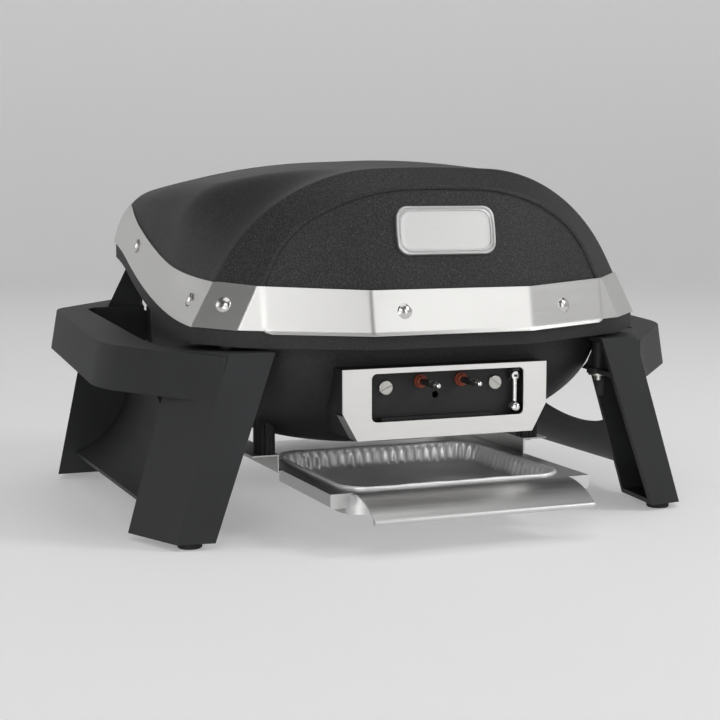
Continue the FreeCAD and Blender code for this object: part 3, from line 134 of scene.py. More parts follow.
# Finishes
# A value on its way through a material; sums on it add Math nodes
class Flow:
    def __init__(self, finish, socket):
        self.finish = finish
        self.socket = socket

    def sums(self, kind, other, flipped=False):
        pair = (other, self) if flipped else (self, other)
        return self.finish.add("ShaderNodeMath", {"operation": kind}, {0: pair[0], 1: pair[1]})

    def __add__(self, other):
        return self.sums("ADD", other)

    def __radd__(self, other):
        return self.sums("ADD", other, True)

    def __sub__(self, other):
        return self.sums("SUBTRACT", other)

    def __rsub__(self, other):
        return self.sums("SUBTRACT", other, True)

    def __mul__(self, other):
        return self.sums("MULTIPLY", other)

    def __rmul__(self, other):
        return self.sums("MULTIPLY", other, True)


# A material with one Principled shader; plain numbers go straight on its sockets, named with _ for a blank
class Finish:
    def __init__(self, name, **plain):
        self.material = bpy.data.materials.new(name)
        self.material.use_nodes = True
        self.tree = self.material.node_tree
        self.shader = self.tree.nodes["Principled BSDF"]
        for key, value in plain.items():
            self.shader.inputs[key.replace("_", " ")].default_value = value

    def add(self, kind, settings=None, inputs=None, out=0):
        node = self.tree.nodes.new(kind)
        for key, value in (settings or {}).items():
            setattr(node, key, value)
        for key, value in (inputs or {}).items():
            if isinstance(value, Flow):
                self.tree.links.new(value.socket, node.inputs[key])
            else:
                node.inputs[key].default_value = value
        return Flow(self, node.outputs[out])

    def place(self, stretch=(1, 1, 1)):
        spot = self.add("ShaderNodeTexCoord", out="Object")
        return self.add("ShaderNodeMapping", {}, {"Vector": spot, "Scale": stretch})

    def noise(self, scale, detail=3, stretch=(1, 1, 1)):
        return self.add("ShaderNodeTexNoise", {},
                        {"Vector": self.place(stretch), "Scale": scale, "Detail": detail})

    def sharpen(self, flow, low, high):
        return self.add("ShaderNodeMapRange", {"interpolation_type": "SMOOTHSTEP"},
                        {0: flow, 1: low, 2: high, 3: 0.0, 4: 1.0})

    def blendColour(self, share, first, second):
        return self.add("ShaderNodeMix", {"data_type": "RGBA"},
                        {0: share, 6: (*first, 1), 7: (*second, 1)}, out=2)

    def feed(self, socket, flow):
        self.tree.links.new(flow.socket, self.shader.inputs[socket])

    def bump(self, height, strength, distance):
        self.feed("Normal", self.add("ShaderNodeBump", {}, {"Height": height, "Strength": strength,
                                                            "Distance": distance}))


# Matt baked coat: dark ground with lighter specks of the grain's scale, a little uneven in gloss
def enamel(name, dark, light, grain, rough, strength):
    f = Finish(name, Metallic=0.0, Specular_IOR_Level=0.30)
    specks = f.noise(grain, 2)
    cloud = f.noise(14, 3)
    f.feed("Base Color", f.blendColour(f.sharpen(specks, 0.44, 0.68), dark, light))
    f.feed("Roughness", rough + 0.10 * cloud + 0.06 * specks)
    f.bump(specks + 0.5 * f.noise(grain * 0.45, 2), strength, 0.0006)
    return f.material


# Steel with lines along the axis that is stretched least; streak is how much darker the lines are
def brushedSteel(name, tone, rough, stretch, streak=0.10):
    f = Finish(name, Metallic=1.0)
    lines = f.noise(1.0, 4, stretch)
    cloud = f.noise(11, 3)
    dull = tuple(c * (1 - streak) for c in tone)
    f.feed("Base Color", f.blendColour(lines, dull, tone))
    f.feed("Roughness", rough + 0.16 * lines + 0.08 * cloud - 0.10)
    f.bump(lines, 0.16, 0.0003)
    return f.material


# Fine moulded grain over a soft change of tone
def mouldedPlastic(name, dark, light, rough, strength=0.12, gloss=0.35):
    f = Finish(name, Metallic=0.0, Specular_IOR_Level=gloss)
    grain = f.noise(1500, 2)
    cloud = f.noise(9, 4)
    f.feed("Base Color", f.blendColour(f.sharpen(cloud, 0.3, 0.75), dark, light))
    f.feed("Roughness", rough + 0.10 * cloud + 0.05 * grain)
    f.bump(grain, strength, 0.0003)
    return f.material


# Bare metal with worn patches and small pits
def plainMetal(name, tone, rough, worn=0.15, grain=600):
    f = Finish(name, Metallic=1.0)
    patches = f.noise(40, 4)
    pits = f.noise(grain, 2)
    f.feed("Base Color", f.blendColour(patches, tuple(c * (1 - worn) for c in tone), tone))
    f.feed("Roughness", rough + 0.15 * patches)
    f.bump(pits, 0.08, 0.0002)
    return f.material


# Crumpled soft foil: two sizes of dents
def foilFinish(name):
    f = Finish(name, Metallic=0.4)
    crumple = f.noise(95, 5)
    fine = f.noise(420, 3)
    f.feed("Base Color", f.blendColour(crumple, (0.93, 0.93, 0.935), (0.98, 0.98, 0.982)))
    f.feed("Roughness", 0.26 + 0.16 * crumple)
    f.bump(crumple + 0.35 * fine, 0.35, 0.0008)
    return f.material


finishes = {
    "lid_shell": enamel("lidEnamel", (0.019, 0.019, 0.020), (0.056, 0.056, 0.058), 900, 0.44, 0.45),
    "bowl_shell": enamel("bowlEnamel", (0.022, 0.022, 0.023), (0.036, 0.036, 0.037), 700, 0.46, 0.18),
    "band_steel": brushedSteel("bandSteel", (0.70, 0.695, 0.68), 0.32, (5, 5, 1100), 0.05),
    "band_side": brushedSteel("bandSideSteel", (0.70, 0.695, 0.68), 0.36, (5, 5, 900), 0.03),
    "rivet_steel": plainMetal("rivetSteel", (0.72, 0.71, 0.70), 0.14),
    "badge_metal": brushedSteel("badgeSatin", (0.66, 0.66, 0.655), 0.42, (9, 9, 700), 0.10),
    "hinge_steel": enamel("hingeEnamel", (0.022, 0.022, 0.023), (0.034, 0.034, 0.035), 800, 0.42, 0.15),
    "pin_steel": plainMetal("pinSteel", (0.78, 0.77, 0.75), 0.16),
    "element_steel": plainMetal("elementTube", (0.20, 0.185, 0.17), 0.46, 0.35, 300),
    "clip_steel": plainMetal("elementClipSteel", (0.48, 0.47, 0.46), 0.34),
    "grate_iron": enamel("grateIron", (0.022, 0.022, 0.023), (0.040, 0.039, 0.038), 420, 0.38, 0.35),
    "housing_plastic": mouldedPlastic("housingPlastic", (0.018, 0.018, 0.018), (0.028, 0.028, 0.028), 0.48),
    "bracket_steel": brushedSteel("bracketSteel", (0.80, 0.79, 0.775), 0.34, (5, 480, 480), 0.07),
    "bushing_copper": mouldedPlastic("bushingCeramic", (0.20, 0.045, 0.022), (0.30, 0.070, 0.034), 0.30, 0.2),
    "sleeve_plastic": mouldedPlastic("sleeveGlaze", (0.020, 0.018, 0.017), (0.034, 0.030, 0.028),
                                     0.16, 0.05, 0.5),
    "screw_steel": plainMetal("screwZinc", (0.62, 0.61, 0.58), 0.34, 0.25),
    "clip_plastic": mouldedPlastic("latchClipPlastic", (0.014, 0.014, 0.014), (0.020, 0.020, 0.020),
                                   0.12, 0.04, 0.5),
    "latch_chrome": plainMetal("latchChrome", (0.84, 0.84, 0.83), 0.12, 0.05),
    "rail_steel": brushedSteel("railSteel", (0.60, 0.60, 0.59), 0.34, (480, 6, 480)),
    "tray_steel": brushedSteel("traySteel", (0.70, 0.70, 0.695), 0.33, (5, 420, 420), 0.12),
    "foil_aluminium": foilFinish("foilAluminium"),
    "frame_plastic": mouldedPlastic("framePlastic", (0.021, 0.0215, 0.0225), (0.029, 0.030, 0.0315), 0.50),
    "foot_rubber": mouldedPlastic("footRubber", (0.016, 0.016, 0.016), (0.024, 0.024, 0.024), 0.62, 0.2),
}
for node, cad in cadNodes.items():
    cad.data.materials.clear()
    cad.data.materials.append(finishes[nodeSlots[node]])
print("finishes ready", len(finishes))

# The lid
lidForm = {
    "half": 226.6, "rimGap": 0.3, "cornerFront": -174.0, "cornerRear": 112.0, "cornerRun": 1.22,
    "frontY": -240.0, "frontLean": 11.0, "frontBow": 18.0, "rearY": 150.0, "rearLean": 12.0, "rearBow": 8.0,
    "flat": 70.0, "bowRadius": 60.0, "lowFoot": 151.5, "drop": 1.0, "tighten": 0.34, "run": 80.0,
    "archLean": (28.0, 15.0), "archTop": (333.5, 341.5, 334.0), "archShoulder": (170.0, 62.0), "crown": 660.0,
    "frontRise": 0.38, "rearRise": 8.0, "recess": 2.0, "wall": 4.0, "edge": 3.2, "bead": 3.0,
    "wallRadius": 260.0, "archRun": 114.0, "fallRun": 120.0, "panelHeart": 240.0, "insetTurn": 0.8,
    "barrelRows": 52, "recessSteps": ((1.2, 0.0), (2.6, 0.02), (3.3, 0.3), (3.8, 0.85), (4.3, 1.4),
                                      (5.0, 1.6), (7, 1.6), (12, 1.6)),  # inset and depth
}
parting = {"lowY": -180.0, "lowZ": 191.5, "frontSlope": 0.085, "sweep": 600.0, "endY": 60.0, "tail": 225.0}


# Height of the line on which lid and bowl part: a slope, an arc up and a reversed arc
def partingHeight(y):
    turn = math.asin((parting["endY"] - parting["lowY"]) / parting["sweep"])
    rise = parting["sweep"] * (1 - math.cos(turn))
    tailRun = parting["tail"] * math.sin(turn)
    tailRise = parting["tail"] * (1 - math.cos(turn))
    y = np.asarray(y, float)
    front = parting["lowZ"] + (y - parting["lowY"]) * parting["frontSlope"]
    along = np.clip(y - parting["lowY"], 0, parting["endY"] - parting["lowY"])
    middle = parting["lowZ"] + parting["sweep"] - np.sqrt(parting["sweep"] ** 2 - along ** 2)
    left = np.clip(parting["endY"] + tailRun - y, 0, tailRun)
    rear = parting["lowZ"] + rise + tailRise - parting["tail"] + np.sqrt(parting["tail"] ** 2 - left ** 2)
    return np.where(y < parting["lowY"], front, np.where(y < parting["endY"], middle, rear))


# A leaning side line, a shoulder arc and a flat crown arc, tangent to each other
def archOf(half, level, lean, top, shoulder, crown):
    tilt = np.radians(lean)
    outX, outZ, upX, upZ = np.cos(tilt), np.sin(tilt), -np.sin(tilt), np.cos(tilt)
    reach = outX * half + outZ * level - shoulder
    crownLevel = top - crown
    base = outZ * reach - crownLevel
    mixed = outX * reach * upX + base * upZ
    rest = (outX * reach) ** 2 + base ** 2 - (crown - shoulder) ** 2
    along = -mixed + np.sqrt(mixed ** 2 - rest)
    cx, cz = outX * reach + upX * along, outZ * reach + upZ * along
    return {"half": half, "level": level, "tilt": tilt, "shoulder": shoulder, "crown": crown,
            "cx": cx, "cz": cz, "crownLevel": crownLevel, "crownTurn": np.arctan2(cx, cz - crownLevel),
            "sideZ": cz + shoulder * outZ}


# Point at a share along the arch: 0 to 1 on the side line, 1 to 2 on the shoulder, 2 to 3 on the crown
def archPoint(arch, share, bottom):
    z = lerp(bottom, arch["sideZ"], np.clip(share, 0, 1))
    x = arch["half"] - (z - arch["level"]) * np.tan(arch["tilt"])
    turn = arch["tilt"] + np.clip(share - 1, 0, 1) * (np.pi / 2 - arch["crownTurn"] - arch["tilt"])
    fade = arch["crownTurn"] * (3 - np.clip(share, 2, 3))
    x = np.where(share > 1, arch["cx"] + arch["shoulder"] * np.cos(turn), x)
    z = np.where(share > 1, arch["cz"] + arch["shoulder"] * np.sin(turn), z)
    x = np.where(share > 2, arch["crown"] * np.sin(fade), x)
    z = np.where(share > 2, arch["crownLevel"] + arch["crown"] * np.cos(fade), z)
    return x, z


# How far a point lies outside the arch
def archOutside(arch, x, z):
    out, up = x - arch["cx"], z - arch["cz"]
    side = out * np.cos(arch["tilt"]) + up * np.sin(arch["tilt"]) - arch["shoulder"]
    shoulder = np.hypot(out, up) - arch["shoulder"]
    crown = np.hypot(x, z - arch["crownLevel"]) - arch["crown"]
    onCrown = np.arctan2(x, z - arch["crownLevel"]) < arch["crownTurn"]
    return np.where(onCrown, crown, np.where(np.arctan2(up, out) < arch["tilt"], side, shoulder))


# Share along the arch at which a point stands, the other way round from archPoint
def archShare(arch, x, z, bottom):
    angle = np.arctan2(z - arch["cz"], x - arch["cx"])
    side = (z - bottom) / (arch["sideZ"] - bottom)
    shoulder = 1 + (angle - arch["tilt"]) / (np.pi / 2 - arch["crownTurn"] - arch["tilt"])
    crown = 3 - np.arctan2(x, z - arch["crownLevel"]) / arch["crownTurn"]
    onCrown = np.arctan2(x, z - arch["crownLevel"]) < arch["crownTurn"]
    return np.where(onCrown, crown, np.where(angle < arch["tilt"], side, shoulder))


# The arch of the long middle section at depth y, from the front arch into the middle one
def barrelArch(y, grow=0.0):
    y = np.asarray(y, float)
    change = ease((y - lidForm["cornerFront"]) / lidForm["archRun"])
    fall = np.clip((y - parting["endY"]) / lidForm["fallRun"], 0, 1)
    lean = lerp(*lidForm["archLean"], change)
    top = lerp(*lidForm["archTop"][:2], change) - (lidForm["archTop"][1] - lidForm["archTop"][2]) * fall
    shoulder = lerp(*lidForm["archShoulder"], change)
    level = partingHeight(np.maximum(y, lidForm["cornerFront"]))
    return archOf(lidForm["half"] + grow, level, lean, top + grow, shoulder + grow,
                  lidForm["crown"] * 2 / (1 + change))


# The bowed end walls: flat in the middle, an arc and a straight wing, leaning back as they rise
def endWall(x, z, end, radius=lidForm["wallRadius"]):
    faceY, lean, bow = (lidForm[end + key] for key in ("Y", "Lean", "Bow"))
    sign = 1 if end == "front" else -1
    turn = math.radians(bow)
    flat = lidForm["flat"] + (lidForm["bowRadius"] - radius) * math.tan(turn / 2)
    ax = np.abs(x)
    over = np.clip(ax - flat, 0, radius * math.sin(turn))
    bend = radius - np.sqrt(radius ** 2 - over ** 2)
    wing = np.clip(ax - flat - radius * math.sin(turn), 0, None) * math.tan(turn)
    level = float(partingHeight(faceY)) if end == "rear" else parting["lowZ"]
    return faceY + sign * (bend + wing) + sign * (z - level) * math.tan(math.radians(lean))


# The slanting border between the crease and an end wall: straight lines from a wide arch to a small one
def borderPoint(share, step, end):
    sign = -1 if end == "front" else 1
    corner = lidForm["cornerFront"] if end == "front" else lidForm["cornerRear"]
    level = parting["lowZ"] if end == "front" else float(partingHeight(corner))
    lean = lidForm["archLean"][0 if end == "front" else 1]
    rise = (lidForm["cornerFront"] - lidForm["frontY"]) * lidForm["frontRise"]
    if end == "front":
        top, shoulder = lidForm["archTop"][0] + rise, lidForm["archShoulder"][0] + rise
    else:
        top, shoulder = lidForm["archTop"][1] + lidForm["rearRise"], lidForm["archShoulder"][1]
    run, crown, foot = lidForm["run"], lidForm["crown"] * 2, lidForm["lowFoot"]
    wide = archOf(lidForm["half"], level, lean, top, shoulder, crown)
    small = archOf(lidForm["half"] - run * lidForm["cornerRun"], level, lean, top - run * lidForm["drop"],
                   shoulder * lidForm["tighten"], crown)
    y = corner + sign * run * step
    sideZ = lerp(wide["sideZ"], small["sideZ"], step)
    bottom = partingHeight(y) + lidForm["rimGap"]
    bottomShare = (bottom - foot) / (sideZ - foot)
    sideShare = lerp(bottomShare, 1, np.clip(share, 0, 1))
    split = np.where(share > 1, share, sideShare)
    wideX, wideZ = archPoint(wide, split, foot)
    smallX, smallZ = archPoint(small, split, foot)
    return lerp(wideX, smallX, step), y, lerp(wideZ, smallZ, step)


# Halving search for the step at which a measure turns from positive to negative
def crossing(measure, count):
    low, high = np.zeros(count), np.ones(count)
    for _ in range(34):
        middle = (low + high) / 2
        positive = measure(middle) > 0
        low, high = np.where(positive, middle, low), np.where(positive, high, middle)
    return (low + high) / 2


# Rows that round the corner between two rows of a surface
def softEdge(before, corner, after, reach, steps=4):
    def towards(other):
        way = other - corner
        length = np.linalg.norm(way, axis=1, keepdims=True) + 1e-9
        return corner + way / length * np.minimum(reach, length * 0.45)
    a, b = towards(before), towards(after)
    shares = np.linspace(0, 1, steps + 1)
    return [(1 - s) ** 2 * a + 2 * s * (1 - s) * corner + s * s * b for s in shares]


# Slides points along the barrel until they lie on an end wall too
def wallOnBarrel(points, end):
    x, y, z = points.T
    share = archShare(barrelArch(y), x, z, partingHeight(y) + lidForm["rimGap"])
    for _ in range(12):
        y = endWall(x, z, end)
        x, z = archPoint(barrelArch(y), share, partingHeight(y) + lidForm["rimGap"])
    return np.stack([x, y, z], 1)


# All rows of one end, from its bottom edge over the panel and the border to the crease
def endRows(end, shares):
    count = len(shares)
    sign = 1 if end == "front" else -1

    def border(step):
        return np.stack(borderPoint(shares, step, end), 1)

    def outside(step):
        p = border(step)
        return archOutside(barrelArch(p[:, 1]), p[:, 0], p[:, 2])

    def ahead(step):
        p = border(step)
        return sign * (p[:, 1] - endWall(p[:, 0], p[:, 2], end))

    creaseStep, beadStep = crossing(outside, count), crossing(ahead, count)
    lastStep = np.maximum(beadStep, creaseStep)
    crease, bead = border(creaseStep), border(lastStep)
    between = [border(lerp(lastStep, creaseStep, s)) for s in np.linspace(0, 1, 9)[1:-1]]
    direct = wallOnBarrel(crease, end)  # where no border is left, the wall cuts the barrel itself
    bare = beadStep < creaseStep
    for row in [crease, bead] + between:
        row[bare] = direct[bare]

    # The panel's edge steps inwards from the bead, sideways at the foot and square to it further up
    flatBead = bead[:, [0, 2]]
    along = np.gradient(flatBead, axis=0)
    inward = np.stack([-along[:, 1], along[:, 0]], 1)
    inward /= np.linalg.norm(inward, axis=1, keepdims=True) + 1e-9
    inward *= np.sign((inward * (np.array([0, lidForm["panelHeart"]]) - flatBead)).sum(1))[:, None]
    inward[0] = (-1, 0)
    inward[:, 1] *= ease(shares / lidForm["insetTurn"])
    fullDepth = lidForm["recessSteps"][-1][1]
    panelRows = []
    for inset, sunk in lidForm["recessSteps"]:
        spot = flatBead + inward * inset
        spot[:, 0] = np.maximum(spot[:, 0], 0)
        spot[-1, 0] = 0
        depth = endWall(spot[:, 0], spot[:, 1], end) + sign * sunk * lidForm["recess"] / fullDepth
        panelRows.append(np.stack([spot[:, 0], depth, spot[:, 1]], 1))
    inner = panelRows[-1]
    foot = inner[:, 2].copy()
    for _ in range(6):
        foot = partingHeight(endWall(inner[:, 0], foot, end)) + lidForm["rimGap"]
    stripes = []
    for s in np.linspace(1, 0, 16)[:-1]:
        z = lerp(inner[:, 2], np.minimum(foot, inner[:, 2]), s)
        stripes.append(np.stack([inner[:, 0], endWall(inner[:, 0], z, end) + sign * lidForm["recess"], z], 1))
    for row in panelRows:
        edge = partingHeight(row[:, 1]) + lidForm["rimGap"]
        row[:, 2] = np.maximum(row[:, 2], edge)
    rows = stripes + panelRows[::-1][:-1]
    rows += softEdge(panelRows[0], bead, between[0], lidForm["bead"]) + between
    return rows, crease


# The whole lid: front rows, the barrel from crease to crease, rear rows, and all of it mirrored
def lidRows():
    shares = np.concatenate([np.linspace(0, 1, 14)[:-1], np.linspace(1, 2, 46)[:-1], np.linspace(2, 3, 34)])
    frontRows, frontCrease = endRows("front", shares)
    rearRows, rearCrease = endRows("rear", shares)

    def shareOf(crease):
        arch = barrelArch(crease[:, 1])
        bottom = partingHeight(crease[:, 1]) + lidForm["rimGap"]
        return np.clip(archShare(arch, crease[:, 0], crease[:, 2], bottom), 0, 3)

    frontShare, rearShare = shareOf(frontCrease), shareOf(rearCrease)
    evenSteps = np.linspace(0, 1, lidForm["barrelRows"])
    barrel = []
    for s in lerp(evenSteps, ease(evenSteps), 0.25):  # a little closer together at both creases
        y = lerp(frontCrease[:, 1], rearCrease[:, 1], s)
        share = lerp(frontShare, rearShare, s)
        x, z = archPoint(barrelArch(y), share, partingHeight(y) + lidForm["rimGap"])
        barrel.append(np.stack([x, y, z], 1))
    rows = frontRows + softEdge(frontRows[-1], barrel[0], barrel[2], lidForm["edge"])
    rows += barrel[2:-2]
    rows += softEdge(barrel[-3], barrel[-1], rearRows[-1], lidForm["edge"]) + rearRows[::-1]
    rows = np.array(rows)
    mirror = rows[:, ::-1][:, 1:] * np.array([-1, 1, 1])
    return np.concatenate([rows, mirror], 1)


lidGrid = lidRows()
lidShell = addPiece("lidShell", toFrame(lidGrid), gridFaces(*lidGrid.shape[:2], flip=True), "lid_shell",
                    finishes["lid_shell"], 34)
addModifier(lidShell, "castingWall", "SOLIDIFY", thickness=lidForm["wall"] / 1000, offset=-1.0)
print("lid ready", lidGrid.shape)

# The steel band round the lid
bandForm = {"gap": 0.3, "thick": 1.2, "height": 40.0, "frontSlope": 0.13, "lip": 2.5, "lipEnd": 172.0,
            "bend": 18.0, "rearBend": 60.0, "proud": 0.7, "seam": 0.3, "lipFade": 2.6, "lipShare": 0.075,
            "lipFlare": 1.1, "onWing": 150.0}
bandOut = bandForm["gap"] + bandForm["thick"]


# Lower and upper edge of the band, and 1 where the front lip hangs below it
def bandEdges(x, y):
    low = partingHeight(y) + lidForm["rimGap"]
    high = partingHeight(y) + bandForm["height"]
    front = parting["lowZ"] + bandForm["height"] + (y - parting["lowY"]) * bandForm["frontSlope"]
    high = np.where(y < parting["lowY"], front, high)
    inLip = ease((bandForm["lipEnd"] - np.abs(x)) / bandForm["lipFade"]) * (y < parting["lowY"])
    return low - bandForm["lip"] * inLip, high, inLip


# Front length: the bowed wall, a fold and a slanting corner piece; share runs 0 to 1 and 1 to 2.
# The fold is where the wall's straight wing meets the corner line, and its height is found by turns
def frontBandPoint(share, rise):
    side = math.tan(math.radians(lidForm["archLean"][0]))
    wing = math.tan(math.radians(lidForm["frontBow"]))
    run, onWing = lidForm["cornerRun"], bandForm["onWing"]
    x = np.zeros_like(share)
    y = np.full_like(share, lidForm["frontY"])
    for _ in range(7):
        low, high, inLip = bandEdges(x, y)
        z = lerp(low, high, rise)
        reach = lidForm["half"] + bandOut - (z - parting["lowZ"]) * side
        wallAt = endWall(np.full_like(x, onWing), z, "front") - bandOut
        foldX = (wallAt - onWing * wing - lidForm["cornerFront"] + bandOut + reach / run) / (1 / run - wing)
        foldY = wallAt + (foldX - onWing) * wing
        seamY = lidForm["cornerFront"] - bandOut
        cornerX = lerp(foldX, reach, np.clip(share - 1, 0, 1))
        cornerY = lerp(foldY, seamY, np.clip(share - 1, 0, 1))
        flatX = foldX * np.clip(share, 0, 1)
        flatY = endWall(flatX, z, "front", bandForm["bend"]) - bandOut
        x = np.where(share > 1, cornerX, flatX)
        y = np.where(share > 1, cornerY, flatY)
    z = lerp(*bandEdges(x, y)[:2], rise)
    lipFlare = inLip * (1 - ease(rise / bandForm["lipShare"])) * bandForm["lipFlare"]
    return x, y - (inLip * bandForm["proud"] + lipFlare) * (share <= 1), z


# Half width of the grown barrel at depth y and height z, on its side line or its shoulder
def halfWidth(y, z):
    arch = barrelArch(y, bandOut)
    onLine = arch["half"] - (z - arch["level"]) * np.tan(arch["tilt"])
    lift = np.clip(z - arch["cz"], 0, arch["shoulder"])
    onArc = arch["cx"] + np.sqrt(arch["shoulder"] ** 2 - lift ** 2)
    return np.where(z < arch["sideZ"], onLine, onArc)


# Side length: the grown barrel between the band's two edges, which have no lip there
def sideBandPoint(y, rise):
    low, high, _ = bandEdges(np.full_like(y, np.inf), y)
    z = lerp(low, high, rise)
    return halfWidth(y, z), y, z


# Rear length: the same as the front one, without the lip
def rearBandPoint(share, rise):
    wing = math.tan(math.radians(lidForm["rearBow"]))
    run, onWing = lidForm["cornerRun"], bandForm["onWing"]
    x = np.zeros_like(share)
    y = np.full_like(share, lidForm["rearY"])
    for _ in range(7):
        low = partingHeight(y) + lidForm["rimGap"]
        z = lerp(low, partingHeight(y) + bandForm["height"], rise)
        reach = halfWidth(np.full_like(x, lidForm["cornerRear"] + bandOut), z)
        wallAt = endWall(np.full_like(x, onWing), z, "rear", bandForm["rearBend"]) + bandOut
        foldX = (lidForm["cornerRear"] + bandOut + reach / run - wallAt - onWing * wing) / (1 / run - wing)
        foldY = wallAt - (foldX - onWing) * wing
        seamY = lidForm["cornerRear"] + bandOut
        cornerX = lerp(foldX, reach, np.clip(share - 1, 0, 1))
        cornerY = lerp(foldY, seamY, np.clip(share - 1, 0, 1))
        flatX = foldX * np.clip(share, 0, 1)
        flatY = endWall(flatX, z, "rear", bandForm["rearBend"]) + bandOut
        x = np.where(share > 1, cornerX, flatX)
        y = np.where(share > 1, cornerY, flatY)
    return x, y, z


# Rows of equal rise over columns at the given stations
def bandGrid(point, stations, rises):
    rise, along = np.meshgrid(rises, stations, indexing="ij")
    return np.stack(point(along, rise), -1)


def mirrored(grid):
    return grid * np.array([-1, 1, 1])


# A half that starts in the middle, with its mirror image before it
def wholeOf(half):
    return np.concatenate([mirrored(half[:, ::-1][:, :-1]), half], 1)


# The sheet gets its thickness inwards and a broken edge all round
def closedBand(name, grid, node, finish, flip=False):
    piece = addPiece(name, toFrame(grid), gridFaces(*grid.shape[:2], flip=flip), node, finish, 30)
    addModifier(piece, "sheetSteel", "SOLIDIFY", thickness=bandForm["thick"] / 1000, offset=-1.0)
    addModifier(piece, "brokenEdge", "BEVEL", width=0.0003, segments=2, limit_method="ANGLE",
                angle_limit=math.radians(40))


# Stations stand closer at the lip, at the bend in the wall and before the fold
lipRises = np.concatenate([[0, 0.03, 0.06, 0.09], np.linspace(0.14, 1, 12)])
plainRises = np.linspace(0, 1, 14)
halfFront = np.concatenate([np.linspace(0, 0.38, 12), np.linspace(0.39, 0.46, 16),
                            np.linspace(0.48, 0.88, 14), np.linspace(0.885, 1, 18), np.linspace(1.04, 2, 12)])
rightFront = bandGrid(frontBandPoint, halfFront, lipRises)
closedBand("bandFront", wholeOf(rightFront), "trim_band_front", finishes["band_steel"])
sideStations = np.linspace(lidForm["cornerFront"] - bandOut + bandForm["seam"],
                           lidForm["cornerRear"] + bandOut - bandForm["seam"], 60)
rightSide = bandGrid(sideBandPoint, sideStations, plainRises)
closedBand("bandRight", rightSide, "trim_band_right", finishes["band_side"])
closedBand("bandLeft", mirrored(rightSide), "trim_band_left", finishes["band_side"], True)
halfRear = np.concatenate([np.linspace(0, 1, 40), np.linspace(1.1, 2, 8)])
rightRear = bandGrid(rearBandPoint, halfRear, plainRises)
closedBand("bandRear", wholeOf(rightRear), "trim_band_rear", finishes["band_steel"], True)
print("band ready")

# The badge plate
badgeForm = {"halfWidth": 48.0, "halfHeight": 22.5, "corner": 10.0, "z": 276.0, "bulge": 1.6,
             "rings": ((0, 0), (0, 1.3), (0.25, 2.4), (0.7, 3.1), (1.3, 3.35), (1.9, 3.15), (2.3, 2.5),
                       (2.6, 1.9), (3.0, 1.85), (3.3, 2.3), (3.8, 2.75), (4.4, 2.75), (4.8, 2.3),
                       (5.1, 1.9), (5.8, 1.8), (9, 1.8), (18, 1.8))}  # inset and height


# Closed loop of a rounded rectangle, with a point every 4 mm and its ends bulged outwards
def roundLoop(halfWidth, halfHeight, corner, count, bulge=0.0):
    corner = max(corner, 0.4)
    quarter = np.linspace(0, np.pi / 2, count)
    x0, y0 = halfWidth - corner, halfHeight - corner
    loops = []
    for k, (cx, cy) in enumerate(((x0, y0), (-x0, y0), (-x0, -y0), (x0, -y0))):
        turn = quarter + k * np.pi / 2
        loops.append(np.stack([cx + corner * np.cos(turn), cy + corner * np.sin(turn)], 1))
    loop = np.concatenate(loops)
    dense = []
    for a, b in zip(loop, np.roll(loop, -1, 0)):
        steps = max(int(np.hypot(*(b - a)) / 4), 1)
        dense.append(a + (b - a) * (np.arange(steps) / steps)[:, None])
    loop = np.concatenate(dense)
    loop[:, 0] += np.sign(loop[:, 0]) * bulge * (1 - (loop[:, 1] / halfHeight) ** 2)
    return loop


# One loop, shrunk by each ring's inset and lifted by its height, square to the leaning wall
def badgeGrid():
    lean = math.radians(lidForm["frontLean"])
    seat = float(endWall(0.0, badgeForm["z"], "front")) + lidForm["recess"]
    across, up = np.array([1.0, 0, 0]), np.array([0, math.sin(lean), math.cos(lean)])
    out = np.array([0, -math.cos(lean), math.sin(lean)])
    halfSize = np.array([badgeForm["halfWidth"], badgeForm["halfHeight"]])
    first = roundLoop(*halfSize, badgeForm["corner"], 14, badgeForm["bulge"])
    centre = np.array([0, seat, badgeForm["z"]])
    rings = []
    for inset, height in badgeForm["rings"]:
        loop = first * ((halfSize - inset) / halfSize)
        rings.append(centre + loop[:, :1] * across + loop[:, 1:] * up + out * height)
    return np.array(rings)


badge = badgeGrid()
badgeCount = badge.shape[1]
badgeFaces = gridFaces(len(badge), badgeCount, wrap=True)
badgeFaces.append([(len(badge) - 1) * badgeCount + i for i in range(badgeCount)])
badgeFaces.append(list(range(badgeCount))[::-1])
addPiece("badgePlate", toFrame(badge), badgeFaces, "badge_plate", finishes["badge_metal"], 40)
print("badge ready")

# The foil pan
foilForm = {"half": 107.0, "frontY": -252.0, "rearY": -50.0, "corner": 24.0, "top": 49.15, "depth": 19.0,
            "pitch": 9.0, "swell": 1.15, "ribSteps": 8, "floorInset": -9.0,
            "profile": ((3.0, -0.4), (3.6, 0.7), (3.2, 1.8), (2.0, 2.3), (0.9, 1.9), (0.3, 0.8), (-0.3, -0.9),
                        (-0.6, -2.4), (-1.1, -5.0), (-1.6, -8.0), (-2.2, -11.0), (-2.9, -14.0), (-3.7, -16.4),
                        (-5.2, -18.0), (-7.5, -18.7), (-13, -18.8), (-20, -18.9), (-40, -18.8),
                        (-70, -18.8))}  # way out and drop


